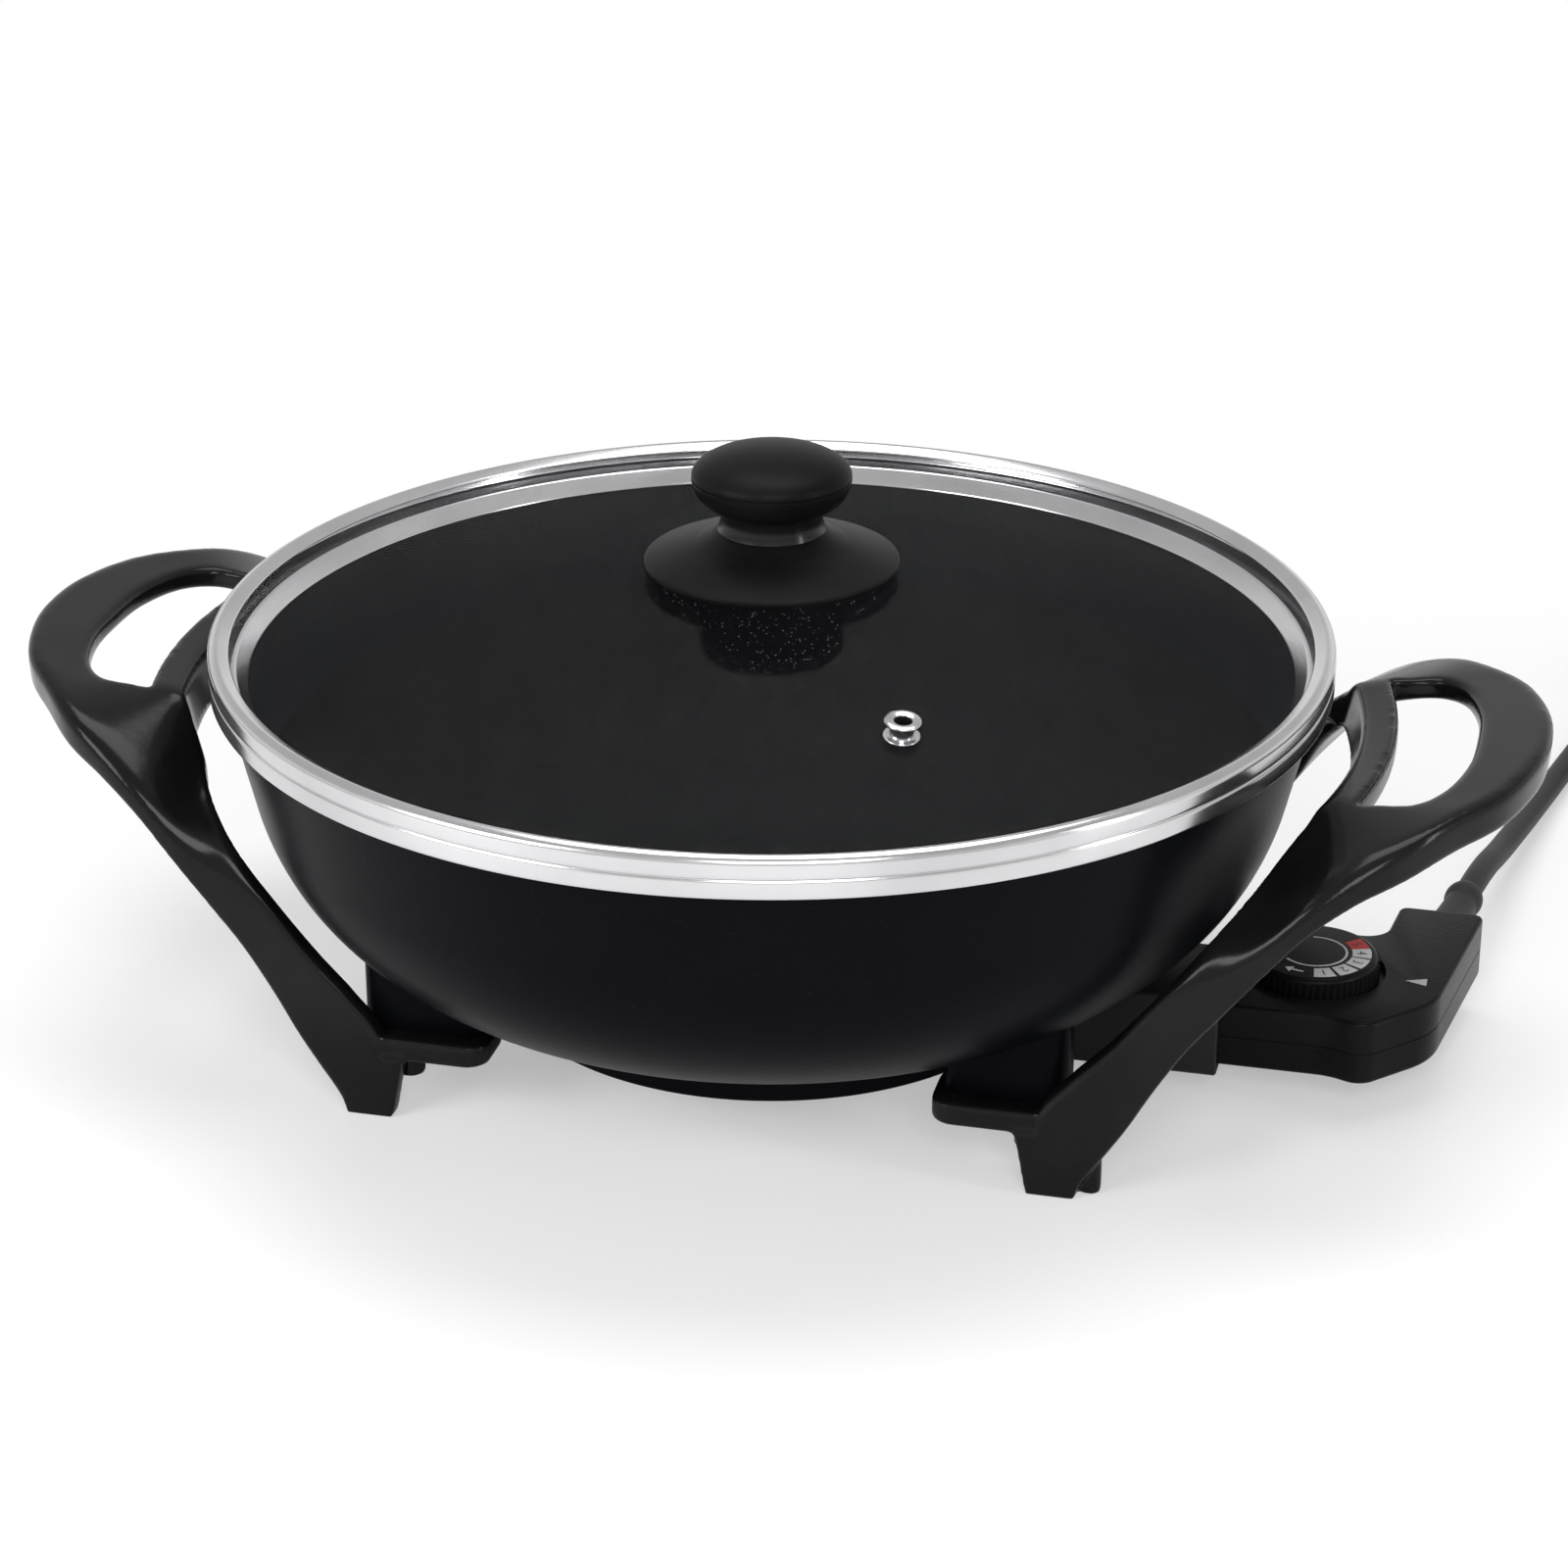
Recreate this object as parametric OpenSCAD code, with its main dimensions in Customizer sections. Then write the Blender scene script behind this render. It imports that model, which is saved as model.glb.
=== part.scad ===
// Electric skillet: cast bowl on two handle-and-leg mouldings, lift-off glass lid, plug-in controller.
// The feet stand on z = 0 around the bowl's axis. +X is the controller side, +Y the back, +Z up.

/* [Pan] */
// Outer radius of the bowl wall just under its rim
pan_r = 166; // [160:1:172]
// Height of the top of the bowl wall above the table
wall_top_z = 126; // [122:1:132]
// Height of the rim bead above the wall
rim_h = 4; // [3:0.5:6]
// How far the rim bead stands out from the wall
rim_out = 2.4; // [1.5:0.1:3]
// Thickness of the casting
pan_t = 3.6; // [3:0.1:5]
// Height of the bowl's underside above the table
bowl_z = 35; // [33:0.5:38]
// Radius of the curve from floor to wall
bowl_corner_r = 74; // [66:1:80]
// Lean of the bowl wall from upright, in degrees
wall_lean = 13; // [9:0.5:16]

/* [Heater] */
// How far the heater land's edge stays inside the edge of the bowl's flat floor
land_inset = 1.6; // [0:0.1:3]
// Width of the heater land
land_w = 28.5; // [25:0.5:38]
// Height of the land's underside above the table
land_z = 18; // [16:0.5:18.5]
// Distance of the heating element's ring from the land's edge
element_inset = 14.5; // [11:0.5:18]
// Radius of the element's tube
element_r = 4; // [3:0.1:4.2]
// Radius of the plug pins
pin_r = 2.4; // [2:0.1:2.8]
// Distance of each pin from the middle of the socket
pin_y = 11; // [10.5:0.1:11.5]
// Free length of the plug pins past their insulators
pin_l = 30; // [22:1:34]
// Outer radius of the pin insulators
insulator_r = 4.8; // [4.2:0.1:5.2]
// Length of the pin insulators
insulator_l = 8; // [6:0.5:10]

/* [Terminal shroud] */
// Length of the shroud along the plug direction
shroud_l = 51.5; // [48:0.5:54]
// Wall thickness of the shroud
shroud_t = 2.5; // [2:0.1:3]

/* [Handles] */
// Reach of the grip's tip past the bowl wall
grip_out = 69; // [64:1:74]
// Reach of the far side of the finger hole past the bowl wall
hole_out = 47; // [44:1:49]
// Reach of the inner bar's hole side past the bowl wall
bar_out = 23.5; // [21:0.5:26]
// Gap between the bowl wall's top and the inner bar
bar_gap = 13; // [11:0.5:15]
// Thickness of the grip at its outer edge
grip_t = 12.5; // [9:0.5:13]
// Thickness of the grip at its finger hole
hole_t = 6.5; // [5:0.5:9]
// Drop of the grip's top below the rim, taken at the bowl wall
grip_drop = 16.6; // [14:0.2:20]
// Upward tilt of the grip, in degrees
grip_tilt = 9.9; // [6:0.1:14]
// Half the length of the finger hole
hole_half = 47; // [44:1:50]
// Depth of the inner bar
bar_h = 16; // [12:0.5:20]
// Distance of the leg plates' middle from the handle axis
leg_y = 83.5; // [81:0.5:88]
// Thickness of the leg plates
leg_t = 7; // [6:0.5:9]
// How far the feet stand inside the bowl wall, along the handle axis
foot_inset = 61.2; // [56:0.2:66]
// Width of each foot
foot_w = 15; // [12:0.5:18]

/* [Leg shelves and lugs] */
// Height of the shelf tops, where the bowl's lugs stand
shelf_z = 26.6; // [25:0.2:28]
// Thickness of the shelves
shelf_t = 7.6; // [6:0.2:9]
// Length of the shelves inward from the feet
shelf_l = 40; // [32:1:44]
// Width of the shelves
shelf_w = 24; // [20:1:28]
// Length of the cast lugs
lug_l = 37; // [28:1:38]
// Width of the cast lugs
lug_w = 15.5; // [13:0.5:17]
// Distance of the handle screws inside the feet, along the handle axis
screw_inset = 9; // [7:0.5:14]
// Depth of the screw bosses below the shelves
screw_boss_h = 10.5; // [5:0.5:12]
// Radius of the handle screws
screw_r = 2; // [1.6:0.1:2.5]

/* [Lid] */
// Gap between the bowl's rim and the lid band
band_play = 0.8; // [0.6:0.1:4.8]
// Height of the band's lower outer strip, below the bead line
band_low_h = 5.6; // [4:0.2:7]
// Height of the band's upper outer strip, above the bead line
band_high_h = 5.8; // [5:0.2:8]
// Sheet thickness of the band
band_t = 0.8; // [0.6:0.1:1]
// Width of the lip that folds over the glass
lip_w = 6.5; // [5.5:0.5:11]
// Gap between the lid's skirt and the inside of the bowl's rim
skirt_gap = 0.5; // [0.4:0.1:3]
// Depth of the inner skirt below the web
skirt_h = 4.4; // [3:0.2:7]
// How far the inner skirt slopes inward over its depth
skirt_in = 4; // [1:0.2:5]
// Radius of the glass dome's outer surface
dome_r = 600; // [500:2:760]
// Thickness of the glass
glass_t = 3; // [3:0.1:4]
// Distance of the steam vent from the lid's axis
vent_from_axis = 109; // [90:1:125]
// Bearing of the steam vent, in degrees
vent_bearing = -56.7; // [-90:0.1:0]
// Outer radius of the vent's flanges
vent_flange_r = 5.3; // [4.8:0.1:6]
// Radius of the vent's bore
vent_bore_r = 2.6; // [1.8:0.1:2.8]

/* [Lid knob] */
// Radius of the disc under the knob
disc_r = 38.6; // [32:0.2:44]
// Thickness of the disc's edge
disc_edge = 2; // [1.5:0.1:3]
// Height of the disc
disc_h = 11.4; // [9:0.2:14]
// Radius of the knob's neck
neck_r = 16.3; // [13:0.1:18]
// Height of the neck
neck_h = 7.5; // [6:0.5:10]
// Radius of the knob
knob_r = 24.1; // [21:0.1:27]
// Height from the neck to the knob's seam
knob_low_h = 8.6; // [7:0.2:11]
// Height of the domed cap above the seam
knob_cap_h = 9.2; // [7:0.2:12]

/* [Controller] */
// Height of the plug axis, which is also the seam between the case halves
plug_z = 22.5; // [22.5:0.1:23.5]
// Height of the controller's case
case_h = 21; // [19.5:0.5:21]
// Wall thickness of the contact sleeves, which sets the width of the part that enters the shroud
contact_t = 0.6; // [0.4:0.1:1.4]
// Wall thickness of the case
case_t = 2; // [1.6:0.1:2.2]
// Distance from the shroud's mouth to the dial's axis
dial_from_mouth = 24.5; // [24.2:0.1:27]
// Distance of the dial's axis from the plug axis
dial_y = 15; // [14:0.5:17]
// Radius of the dial
dial_r = 20.5; // [18:0.1:20.6]
// Height of the dial
dial_h = 7.8; // [6:0.2:10]
// Number of grip ribs round the dial
dial_ribs = 48; // [24:2:60]
// Depth of the well that the dial sits in
well_d = 2.4; // [1.6:0.2:3]
// Length of the case's tail past the plug axis, where the cord leaves
tail_l = 65.5; // [60:0.5:72]
// Width of the case's tail
tail_w = 26.5; // [24:0.5:28]
// Radius of the probe rod
probe_r = 3.5; // [3:0.1:3.8]
// Length of the probe past the case
probe_l = 35; // [30:1:40]

/* [Cord] */
// Radius of the cord
cord_r = 4.2; // [3.5:0.1:4.3]
// Turns in the coil, two layers together
coil_turns = 2.5; // [2.5:1:3.5]
// Radius of the coil's outer turn at the middle of the cord
coil_r = 50; // [46:0.5:54]
// Step between neighbouring turns
coil_step = 9.2; // [9.1:0.1:10]
// Thickness of the coil's tie
tie_t = 0.8; // [0.5:0.1:1]
// Width of the coil's tie
tie_w = 10; // [6:1:14]

/* [Hidden] */

// Clearances: loose parts that slide or lift, fixed parts that only need to miss, and a shaft that turns
slide_gap = 0.4;
fit_gap = 0.1;
run_gap = 0.06;
seat_gap = 0.2;
// Overlap that makes two shapes of one casting or moulding merge
merge = 0.5;
// Facets of large and small round shapes
fn_large = 180;
fn_small = 48;

// Colours of the finishes
coat_black = [0.05, 0.05, 0.06];
gloss_black = [0.04, 0.04, 0.04];
satin_black = [0.09, 0.09, 0.09];
steel = [0.75, 0.75, 0.77];
glass_tint = [0.8, 0.85, 0.88, 0.35];
brass = [0.75, 0.6, 0.3];
ceramic = [0.9, 0.88, 0.82];

function unit(v) = v / norm(v);
function flip(p) = [for (i = [len(p) - 1:-1:0]) p[i]];
function xy(p) = [p.x, p.y];
// Points of an arc about c from angle a0 to a1
function arc(c, r, a0, a1, n = 8) =
    [for (i = [0:n]) let (a = a0 + (a1 - a0) * i / n) c + r * [cos(a), sin(a)]];
// Difference of two directions, within half a turn
function turn(a) = a > 180 ? a - 360 : a < -180 ? a + 360 : a;
// Arc that rounds corner b = [x, y, radius] between its neighbours a and c
function corner_arc(a, b, c) =
    let (u = unit(xy(a) - xy(b)))
    let (v = unit(xy(c) - xy(b)))
    let (half = acos(u * v) / 2)
    let (centre = xy(b) + unit(u + v) * b.z / sin(half))
    let (s = xy(b) + u * b.z / tan(half) - centre)
    let (e = xy(b) + v * b.z / tan(half) - centre)
    let (a0 = atan2(s.y, s.x))
    arc(centre, b.z, a0, a0 + turn(atan2(e.y, e.x) - a0));
// Outline through corners [x, y, radius]
function rounded(c) =
    let (n = len(c))
    [for (i = [0:n - 1]) each corner_arc(c[(i + n - 1) % n], c[i], c[(i + 1) % n])];
// The same corners moved inward by d; the corners run counterclockwise
function inset(c, d, least_r = 0.3) =
    let (n = len(c))
    [for (i = [0:n - 1])
        let (u = unit(xy(c[i]) - xy(c[(i + n - 1) % n])))
        let (v = unit(xy(c[(i + 1) % n]) - xy(c[i])))
        let (m = [-u.y, u.x])
        let (k = [-v.y, v.x])
        let (q = xy(c[i]) + (m + k) * d / (1 + m * k))
        [q.x, q.y, max(least_r, c[i].z + (cross(u, v) > 0 ? -d : d))]];
// Corners of a rectangle about the origin
function box_corners(w, l, r) =
    [[-w / 2, -l / 2, r], [w / 2, -l / 2, r], [w / 2, l / 2, r], [-w / 2, l / 2, r]];
// Smooth curve through a list of vectors, with m steps between neighbours
function near(p, i) = p[max(0, min(len(p) - 1, i))];
function blend(a, b, c, d, t) =
    0.5 * (2 * b + (c - a) * t + (2 * a - 5 * b + 4 * c - d) * t * t + (3 * b - a - 3 * c + d) * t * t * t);
function smooth(p, m) = concat(
    [for (i = [0:len(p) - 2]) for (k = [0:m - 1])
        blend(near(p, i - 1), p[i], p[i + 1], near(p, i + 2), k / m)],
    [p[len(p) - 1]]);

// Skin over a row of rings with equal numbers of points, closed at both ends
module skin(rings) {
    n = len(rings[0]);
    last = (len(rings) - 1) * n;
    polyhedron([for (r = rings) each r], concat(
        [for (i = [0:len(rings) - 2]) for (j = [0:n - 1]) let (k = (j + 1) % n)
            each [[(i + 1) * n + k, i * n + k, i * n + j], [(i + 1) * n + j, (i + 1) * n + k, i * n + j]]],
        [for (j = [1:n - 2]) [0, j, j + 1]],
        [for (j = [1:n - 2]) [last, last + j + 1, last + j]]), convexity = 10);
}
// Copies of one corner's shape at all four corners of the object
module four_corners() {
    for (sx = [0, 1]) for (sy = [0, 1]) mirror([sx, 0, 0]) mirror([0, sy, 0]) children();
}
// Copies on both sides of the plug axis
module both_sides() {
    for (s = [0, 1]) mirror([0, s, 0]) children();
}
// Cylinder along +X from point p
module rod_x(p, r, l) {
    translate(p) rotate([0, 90, 0]) cylinder(r = r, h = l, $fn = fn_small);
}

// Bowl meridian
rim_z = wall_top_z + rim_h;
rim_r = pan_r + rim_out;
bowl_curve_z = bowl_z + bowl_corner_r;
bowl_curve_r = pan_r - (bowl_corner_r + (wall_top_z - bowl_curve_z) * sin(wall_lean)) / cos(wall_lean);
bowl_steps = 20;
function bowl_line(depth) = concat([[0, bowl_z + depth]],
    arc([bowl_curve_r, bowl_curve_z], bowl_corner_r - depth, -90, -wall_lean, bowl_steps));
function wall_r(z, depth) = pan_r + (z - wall_top_z) * tan(wall_lean) - depth / cos(wall_lean);
bead_round = 1;

// Everything inside a depth into the casting
module bowl_core(depth) {
    rotate_extrude($fn = fn_large)
        polygon(concat(bowl_line(depth), [[wall_r(rim_z, depth), rim_z], [0, rim_z]]));
}

// Heater land under the flat floor, and the element in it
land_r = bowl_curve_r - land_inset;
land_in_r = land_r - land_w;
element_ring_r = land_r - element_inset;

// Socket along +X: element leads, insulators, pins and the shroud around them
lead_end_x = land_r + 5.5;
insulator_end_x = lead_end_x + insulator_l;
pin_end_x = insulator_end_x + pin_l;
element_ends = asin(pin_y / element_ring_r);
nose_gap = 1;
contact_in_r = pin_r + fit_gap;
contact_r = contact_in_r + contact_t;
sleeve_room = 0.6;
nose_w = 2 * (pin_y + contact_r + sleeve_room + case_t);
nose_x = insulator_end_x + nose_gap;
shroud_x = lead_end_x + 2;
mouth_x = shroud_x + shroud_l;
shroud_in_w = nose_w + 2 * slide_gap;
shroud_in_h = case_h + 2 * slide_gap;
shroud_top_z = plug_z + shroud_in_h / 2 + shroud_t;
shroud_screw_x = shroud_x + 14;
shroud_screw_y = 12;
shroud_screw_r = 1.5;
shroud_boss_r = 5;
probe_tip_x = nose_x - probe_l;

// Screws through the leg shelves
foot_x = pan_r - foot_inset;
shelf_in_x = foot_x + 3 - shelf_l;
shelf_y = leg_y + leg_t / 2 - 1 - shelf_w / 2;
lug_x = shelf_in_x + 3 + lug_l / 2;
lug_y = leg_y - leg_t / 2 - 0.3 - lug_w / 2;
screw_x = foot_x - screw_inset;
screw_boss_r = 4.6;
screw_head_r = 1.9 * screw_r;
screw_head_h = 1.35 * screw_r;
screw_in_lug = 11;
screw_low_z = shelf_z - shelf_t - screw_boss_h;

// Cast bowl with its rim, heater land, lugs for the legs and bosses for the shroud
module pan_bowl() {
    lug_round = 5;
    groove_r = element_r + 2 * fit_gap;
    section = concat(bowl_line(0),
        [[pan_r, wall_top_z], [rim_r, wall_top_z + rim_out / 2], [rim_r, rim_z - bead_round],
         [rim_r - bead_round, rim_z], [wall_r(rim_z, pan_t), rim_z]], flip(bowl_line(pan_t)));
    color(coat_black) difference() {
        union() {
            rotate_extrude($fn = fn_large) polygon(section);
            translate([0, 0, land_z]) difference() {
                cylinder(r = land_r, h = bowl_z + pan_t / 2 - land_z, $fn = fn_large);
                translate([0, 0, -1]) cylinder(r = land_in_r, h = bowl_z - land_z + 1, $fn = fn_large);
            }
            difference() {
                union() {
                    four_corners() translate([lug_x, lug_y, shelf_z]) linear_extrude(bowl_curve_z - shelf_z)
                        polygon(rounded(box_corners(lug_l, lug_w, lug_round)));
                    both_sides() translate([shroud_screw_x, shroud_screw_y, shroud_top_z])
                        cylinder(r = shroud_boss_r, h = bowl_curve_z - shroud_top_z, $fn = fn_small);
                }
                bowl_core(pan_t / 2);
            }
        }
        element_tube(groove_r);
        element_drop(groove_r);
        rod_x([probe_tip_x - 2, 0, plug_z], probe_r + slide_gap, land_r);
        four_corners() translate([screw_x, lug_y, shelf_z - 1])
            cylinder(r = screw_r + fit_gap, h = screw_in_lug + 1.5, $fn = fn_small);
        both_sides() translate([shroud_screw_x, shroud_screw_y, shroud_top_z - 1])
            cylinder(r = shroud_screw_r + fit_gap, h = 4.5, $fn = fn_small);
    }
}

// Tube of the element: an open ring with two straight leads
knuckle_x = element_ring_r * cos(element_ends);
module element_tube(r) {
    translate([0, 0, plug_z]) rotate([0, 0, element_ends])
        rotate_extrude(angle = 360 - 2 * element_ends, $fn = fn_large)
        translate([element_ring_r, 0]) circle(r = r, $fn = fn_small);
    both_sides() rod_x([knuckle_x, pin_y, plug_z], r, lead_end_x - knuckle_x);
}
// Room under the tube, open at the land's underside
module element_drop(r) {
    drop = plug_z - land_z + 1;
    translate([0, 0, land_z - 1]) rotate([0, 0, element_ends])
        rotate_extrude(angle = 360 - 2 * element_ends, $fn = fn_large)
        translate([element_ring_r - r, 0]) square([2 * r, drop]);
    both_sides() {
        translate([knuckle_x, pin_y - r, land_z - 1]) cube([land_r, 2 * r, drop]);
        translate([knuckle_x, pin_y, land_z - 1])
            cylinder(r = r + 2 * fit_gap, h = drop + r + fit_gap, $fn = fn_small);
    }
}

module heating_element() {
    color(steel) {
        element_tube(element_r);
        both_sides() translate([knuckle_x, pin_y, plug_z]) sphere(r = element_r + fit_gap, $fn = fn_small);
    }
}

module terminal_pins() {
    tip = 2;
    color(steel) both_sides() {
        rod_x([lead_end_x, pin_y, plug_z], pin_r, pin_end_x - tip - lead_end_x);
        translate([pin_end_x - tip, pin_y, plug_z]) rotate([0, 90, 0])
            cylinder(r1 = pin_r, r2 = pin_r / 2, h = tip, $fn = fn_small);
    }
}

module pin_insulators() {
    color(ceramic) both_sides() difference() {
        rod_x([lead_end_x, pin_y, plug_z], insulator_r, insulator_l);
        rod_x([lead_end_x - 1, pin_y, plug_z], pin_r + fit_gap, insulator_l + 2);
    }
}

// Open-ended guard that the controller's nose slides into, with its inner top edge cut to the bowl's curve
module terminal_shroud() {
    back_t = 3;
    out_w = shroud_in_w + 2 * shroud_t;
    out_h = shroud_in_h + 2 * shroud_t;
    color(satin_black) difference() {
        translate([shroud_x, -out_w / 2, plug_z - out_h / 2]) cube([shroud_l, out_w, out_h]);
        translate([shroud_x + back_t, -shroud_in_w / 2, plug_z - shroud_in_h / 2])
            cube([shroud_l, shroud_in_w, shroud_in_h]);
        both_sides() rod_x([shroud_x - 1, pin_y, plug_z], insulator_r + fit_gap, back_t + 2);
        rod_x([shroud_x - 1, 0, plug_z], probe_r + 2 * slide_gap, back_t + 2);
        bowl_core(-seat_gap);
        both_sides() translate([shroud_screw_x, shroud_screw_y, 0]) {
            translate([0, 0, plug_z]) cylinder(r = shroud_screw_r + fit_gap, h = out_h, $fn = fn_small);
            translate([0, 0, plug_z]) cylinder(r = 2 * shroud_screw_r + 3 * fit_gap,
                h = shroud_in_h / 2 + 0.72 * shroud_t, $fn = fn_small);
        }
    }
}

module shroud_screws() {
    head_h = 0.6 * shroud_t;
    head_z = shroud_top_z - 0.28 * shroud_t - head_h;
    color(steel) both_sides() translate([shroud_screw_x, shroud_screw_y, head_z]) {
        cylinder(r = 2 * shroud_screw_r, h = head_h, $fn = fn_small);
        cylinder(r = shroud_screw_r, h = shroud_top_z + 3 - head_z, $fn = fn_small);
    }
}

// Handle strap: it starts as one leg, turns flat into the grip and ends as the other leg.
// Each station holds four corners of the strap: inner top, outer top, outer bottom and inner bottom.
// The outer wall of the grip widens downward and becomes the leg's front plate.
function grip_z(dx) = rim_z - grip_drop + tan(grip_tilt) * dx;
function on_grip(in_dx, in_y, out_dx, out_y) =
    let (a = [pan_r + in_dx, in_y, grip_z(in_dx)])
    let (b = [pan_r + out_dx, out_y, grip_z(out_dx)])
    let (draft = unit(a - b) * grip_draft)
    [a, b, b + draft - [0, 0, grip_t], a - [0, 0, hole_t]];
// Corner of the arm: reach past the bowl wall, place along the handle, drop as a share of the rim's height
function arm(dx, y, drop) = [pan_r + dx, y, rim_z * (1 - drop)];
// Corners of the leg plate between an inner and an outer edge
function on_leg(in_dx, in_z, out_dx, out_z) = [
    [foot_x + in_dx, leg_in_y, in_z], [foot_x + in_dx, leg_out_y, in_z],
    [foot_x + out_dx, leg_out_y, out_z], [foot_x + out_dx, leg_in_y, out_z]];
leg_in_y = leg_y - leg_t / 2;
leg_out_y = leg_y + leg_t / 2;
grip_draft = 0.8;
strap_low_z = 2;
half_strap = [
    on_grip(hole_out, 0, grip_out, 0),
    on_grip(hole_out - 1, 0.404 * hole_half, grip_out - 2, 0.23 * leg_out_y),
    on_grip(hole_out - 6, hole_half - 10, grip_out - 9.5, 0.483 * leg_out_y),
    on_grip(hole_out - 14, hole_half - 0.5, grip_out - 22, 0.678 * leg_out_y),
    [arm(bar_out - 1, hole_half - 0.5, 0.0923), arm(35, leg_out_y - 15, 0.0938),
     arm(34.5, leg_out_y - 15, 0.1923), arm(bar_out - 1, hole_half + 0.5, 0.1462)],
    [arm(bar_gap - 3, hole_half, 0.1046), arm(22.5, leg_out_y - 7, 0.1423),
     arm(21.5, leg_out_y - 7, 0.2346), arm(bar_gap - 4, hole_half + 4, 0.1923)],
    [arm(bar_gap - 10.5, hole_half + 3.5, 0.1538), arm(9.5, leg_out_y - 2, 0.2115),
     arm(9, leg_out_y - 2, 0.3038), arm(bar_gap - 11.5, hole_half + 13, 0.2769)],
    [arm(bar_gap - 17, leg_in_y - 20, 0.2115), arm(-3, leg_out_y, 0.2962),
     arm(-2.5, leg_out_y, 0.4038), arm(bar_gap - 19, leg_in_y - 9, 0.3692)],
    [arm(bar_gap - 24, leg_in_y - 8, 0.2677), arm(-14, leg_out_y, 0.3654),
     arm(-13, leg_out_y, 0.5038), arm(bar_gap - 26, leg_in_y - 2, 0.4846)],
    [arm(bar_gap - 33, leg_in_y, 0.35), arm(-24, leg_out_y, 0.4192),
     arm(-23, leg_out_y, 0.6), arm(-23, leg_in_y, 0.5923)],
    [arm(bar_gap - 44, leg_in_y, 0.4731), arm(-33.5, leg_out_y, 0.4846),
     arm(-32, leg_out_y, 0.7077), arm(-32, leg_in_y, 0.7077)],
    on_leg(16, 0.3962 * rim_z, 22, 0.1923 * rim_z),
    on_leg(4.4, 0.3 * rim_z, 15.7, 0.1154 * rim_z),
    on_leg(-4.8, 0.2 * rim_z, 11, 0.0615 * rim_z),
    on_leg(-foot_w / 2, strap_low_z, foot_w / 2, strap_low_z)];
function mirrored(p) = [p.x, -p.y, p.z];
strap = concat([for (s = flip(half_strap)) [for (p = s) mirrored(p)]],
    [for (i = [1:len(half_strap) - 1]) half_strap[i]]);
strap_steps = 3;
strap_round = 3;
round_steps = 3;
// Ring through four corners, each rounded
function rounded_corner(a, b, c) =
    let (s = b + unit(a - b) * min(strap_round, 0.45 * norm(a - b)))
    let (e = b + unit(c - b) * min(strap_round, 0.45 * norm(c - b)))
    [for (i = [0:round_steps]) let (t = i / round_steps)
        s * (1 - t) * (1 - t) + b * 2 * t * (1 - t) + e * t * t];
function strap_ring(q) = [for (i = [0:3]) each rounded_corner(q[(i + 3) % 4], q[i], q[(i + 1) % 4])];

// Inner bar beside the bowl, which closes the finger hole and runs out into both arms.
// Each row of its ends: turn past the hole's end, drop, shift towards the bowl, share of the depth.
bar_lift = 0.6;
bar_lean = 3.5;
bar_stations = 8;
bar_ends = [[0, 0.2, 0, 1], [1.2, 1.6, 1, 0.9], [2.3, 5.8, 2.6, 0.75], [4.1, 10, 4.6, 0.5],
    [5.9, 14.2, 6.2, 0.35], [8.1, 20, 7, 0.25]];
bar_turn = asin(hole_half / (pan_r + bar_out));
bar_middle = [for (i = [1 - bar_stations:bar_stations - 1]) [bar_turn * i / bar_stations, 0, 0, 1]];
bar_rows = concat([for (e = flip(bar_ends)) [-bar_turn - e[0], e[1], e[2], e[3]]], bar_middle,
    [for (e = bar_ends) [bar_turn + e[0], e[1], e[2], e[3]]]);
function bar_ring(row) =
    let (in_r = pan_r + bar_gap - row[2])
    let (out_r = pan_r + bar_out - row[2])
    let (in_z = grip_z(bar_gap) + bar_lift - row[1])
    let (out_z = grip_z(bar_out) + bar_lift - row[1])
    let (deep = bar_h * row[3])
    let (section = [[in_r, in_z - 1], [in_r + 1, in_z], [out_r - 1, out_z], [out_r, out_z - 1],
        [out_r, out_z - 0.55 * deep], [in_r + 2, in_z - deep], [in_r - bar_lean * row[3], in_z - deep]])
    [for (p = section) [p.x * cos(row[0]), p.x * sin(row[0]), p.y]];

// Lower end of a leg: shelf under the lug, screw boss and foot, which widens upward
module leg_base() {
    shelf_round = 7;
    flare_z = shelf_z - shelf_t + 1;
    flare_in = 3.9;
    flare_out = 1.5;
    translate([shelf_in_x + shelf_l / 2, shelf_y, shelf_z - shelf_t]) linear_extrude(shelf_t)
        polygon(rounded(box_corners(shelf_l, shelf_w, shelf_round)));
    translate([screw_x, lug_y, screw_low_z])
        cylinder(r = screw_boss_r, h = screw_boss_h + 1, $fn = fn_small);
    translate([foot_x, leg_out_y, 0]) rotate([90, 0, 0]) linear_extrude(leg_t)
        polygon([[-foot_w / 2, 0], [foot_w / 2, 0], [foot_w / 2 + flare_out, flare_z],
            [-foot_w / 2 - flare_in, flare_z]]);
}

// Second support beside each foot on the controller's side
module foot_pegs() {
    peg_r = 3.3;
    both_sides() translate([foot_x + foot_w / 2 + peg_r, leg_in_y - 0.3, 0])
        cylinder(r = peg_r, h = shelf_z - 4, $fn = fn_small);
}

module handle(pegs) {
    color(gloss_black) difference() {
        union() {
            skin([for (q = smooth(strap, strap_steps)) strap_ring(q)]);
            skin([for (row = bar_rows) bar_ring(row)]);
            both_sides() leg_base();
            if (pegs) foot_pegs();
        }
        both_sides() translate([screw_x, lug_y, screw_low_z - 1]) {
            cylinder(r = screw_r + 2 * fit_gap, h = shelf_z, $fn = fn_small);
            cylinder(r = screw_head_r + 2 * fit_gap, h = screw_head_h + 1.3, $fn = fn_small);
        }
    }
}

module handle_right() {
    handle(true);
}

module handle_left() {
    mirror([1, 0, 0]) handle(false);
}

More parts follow.
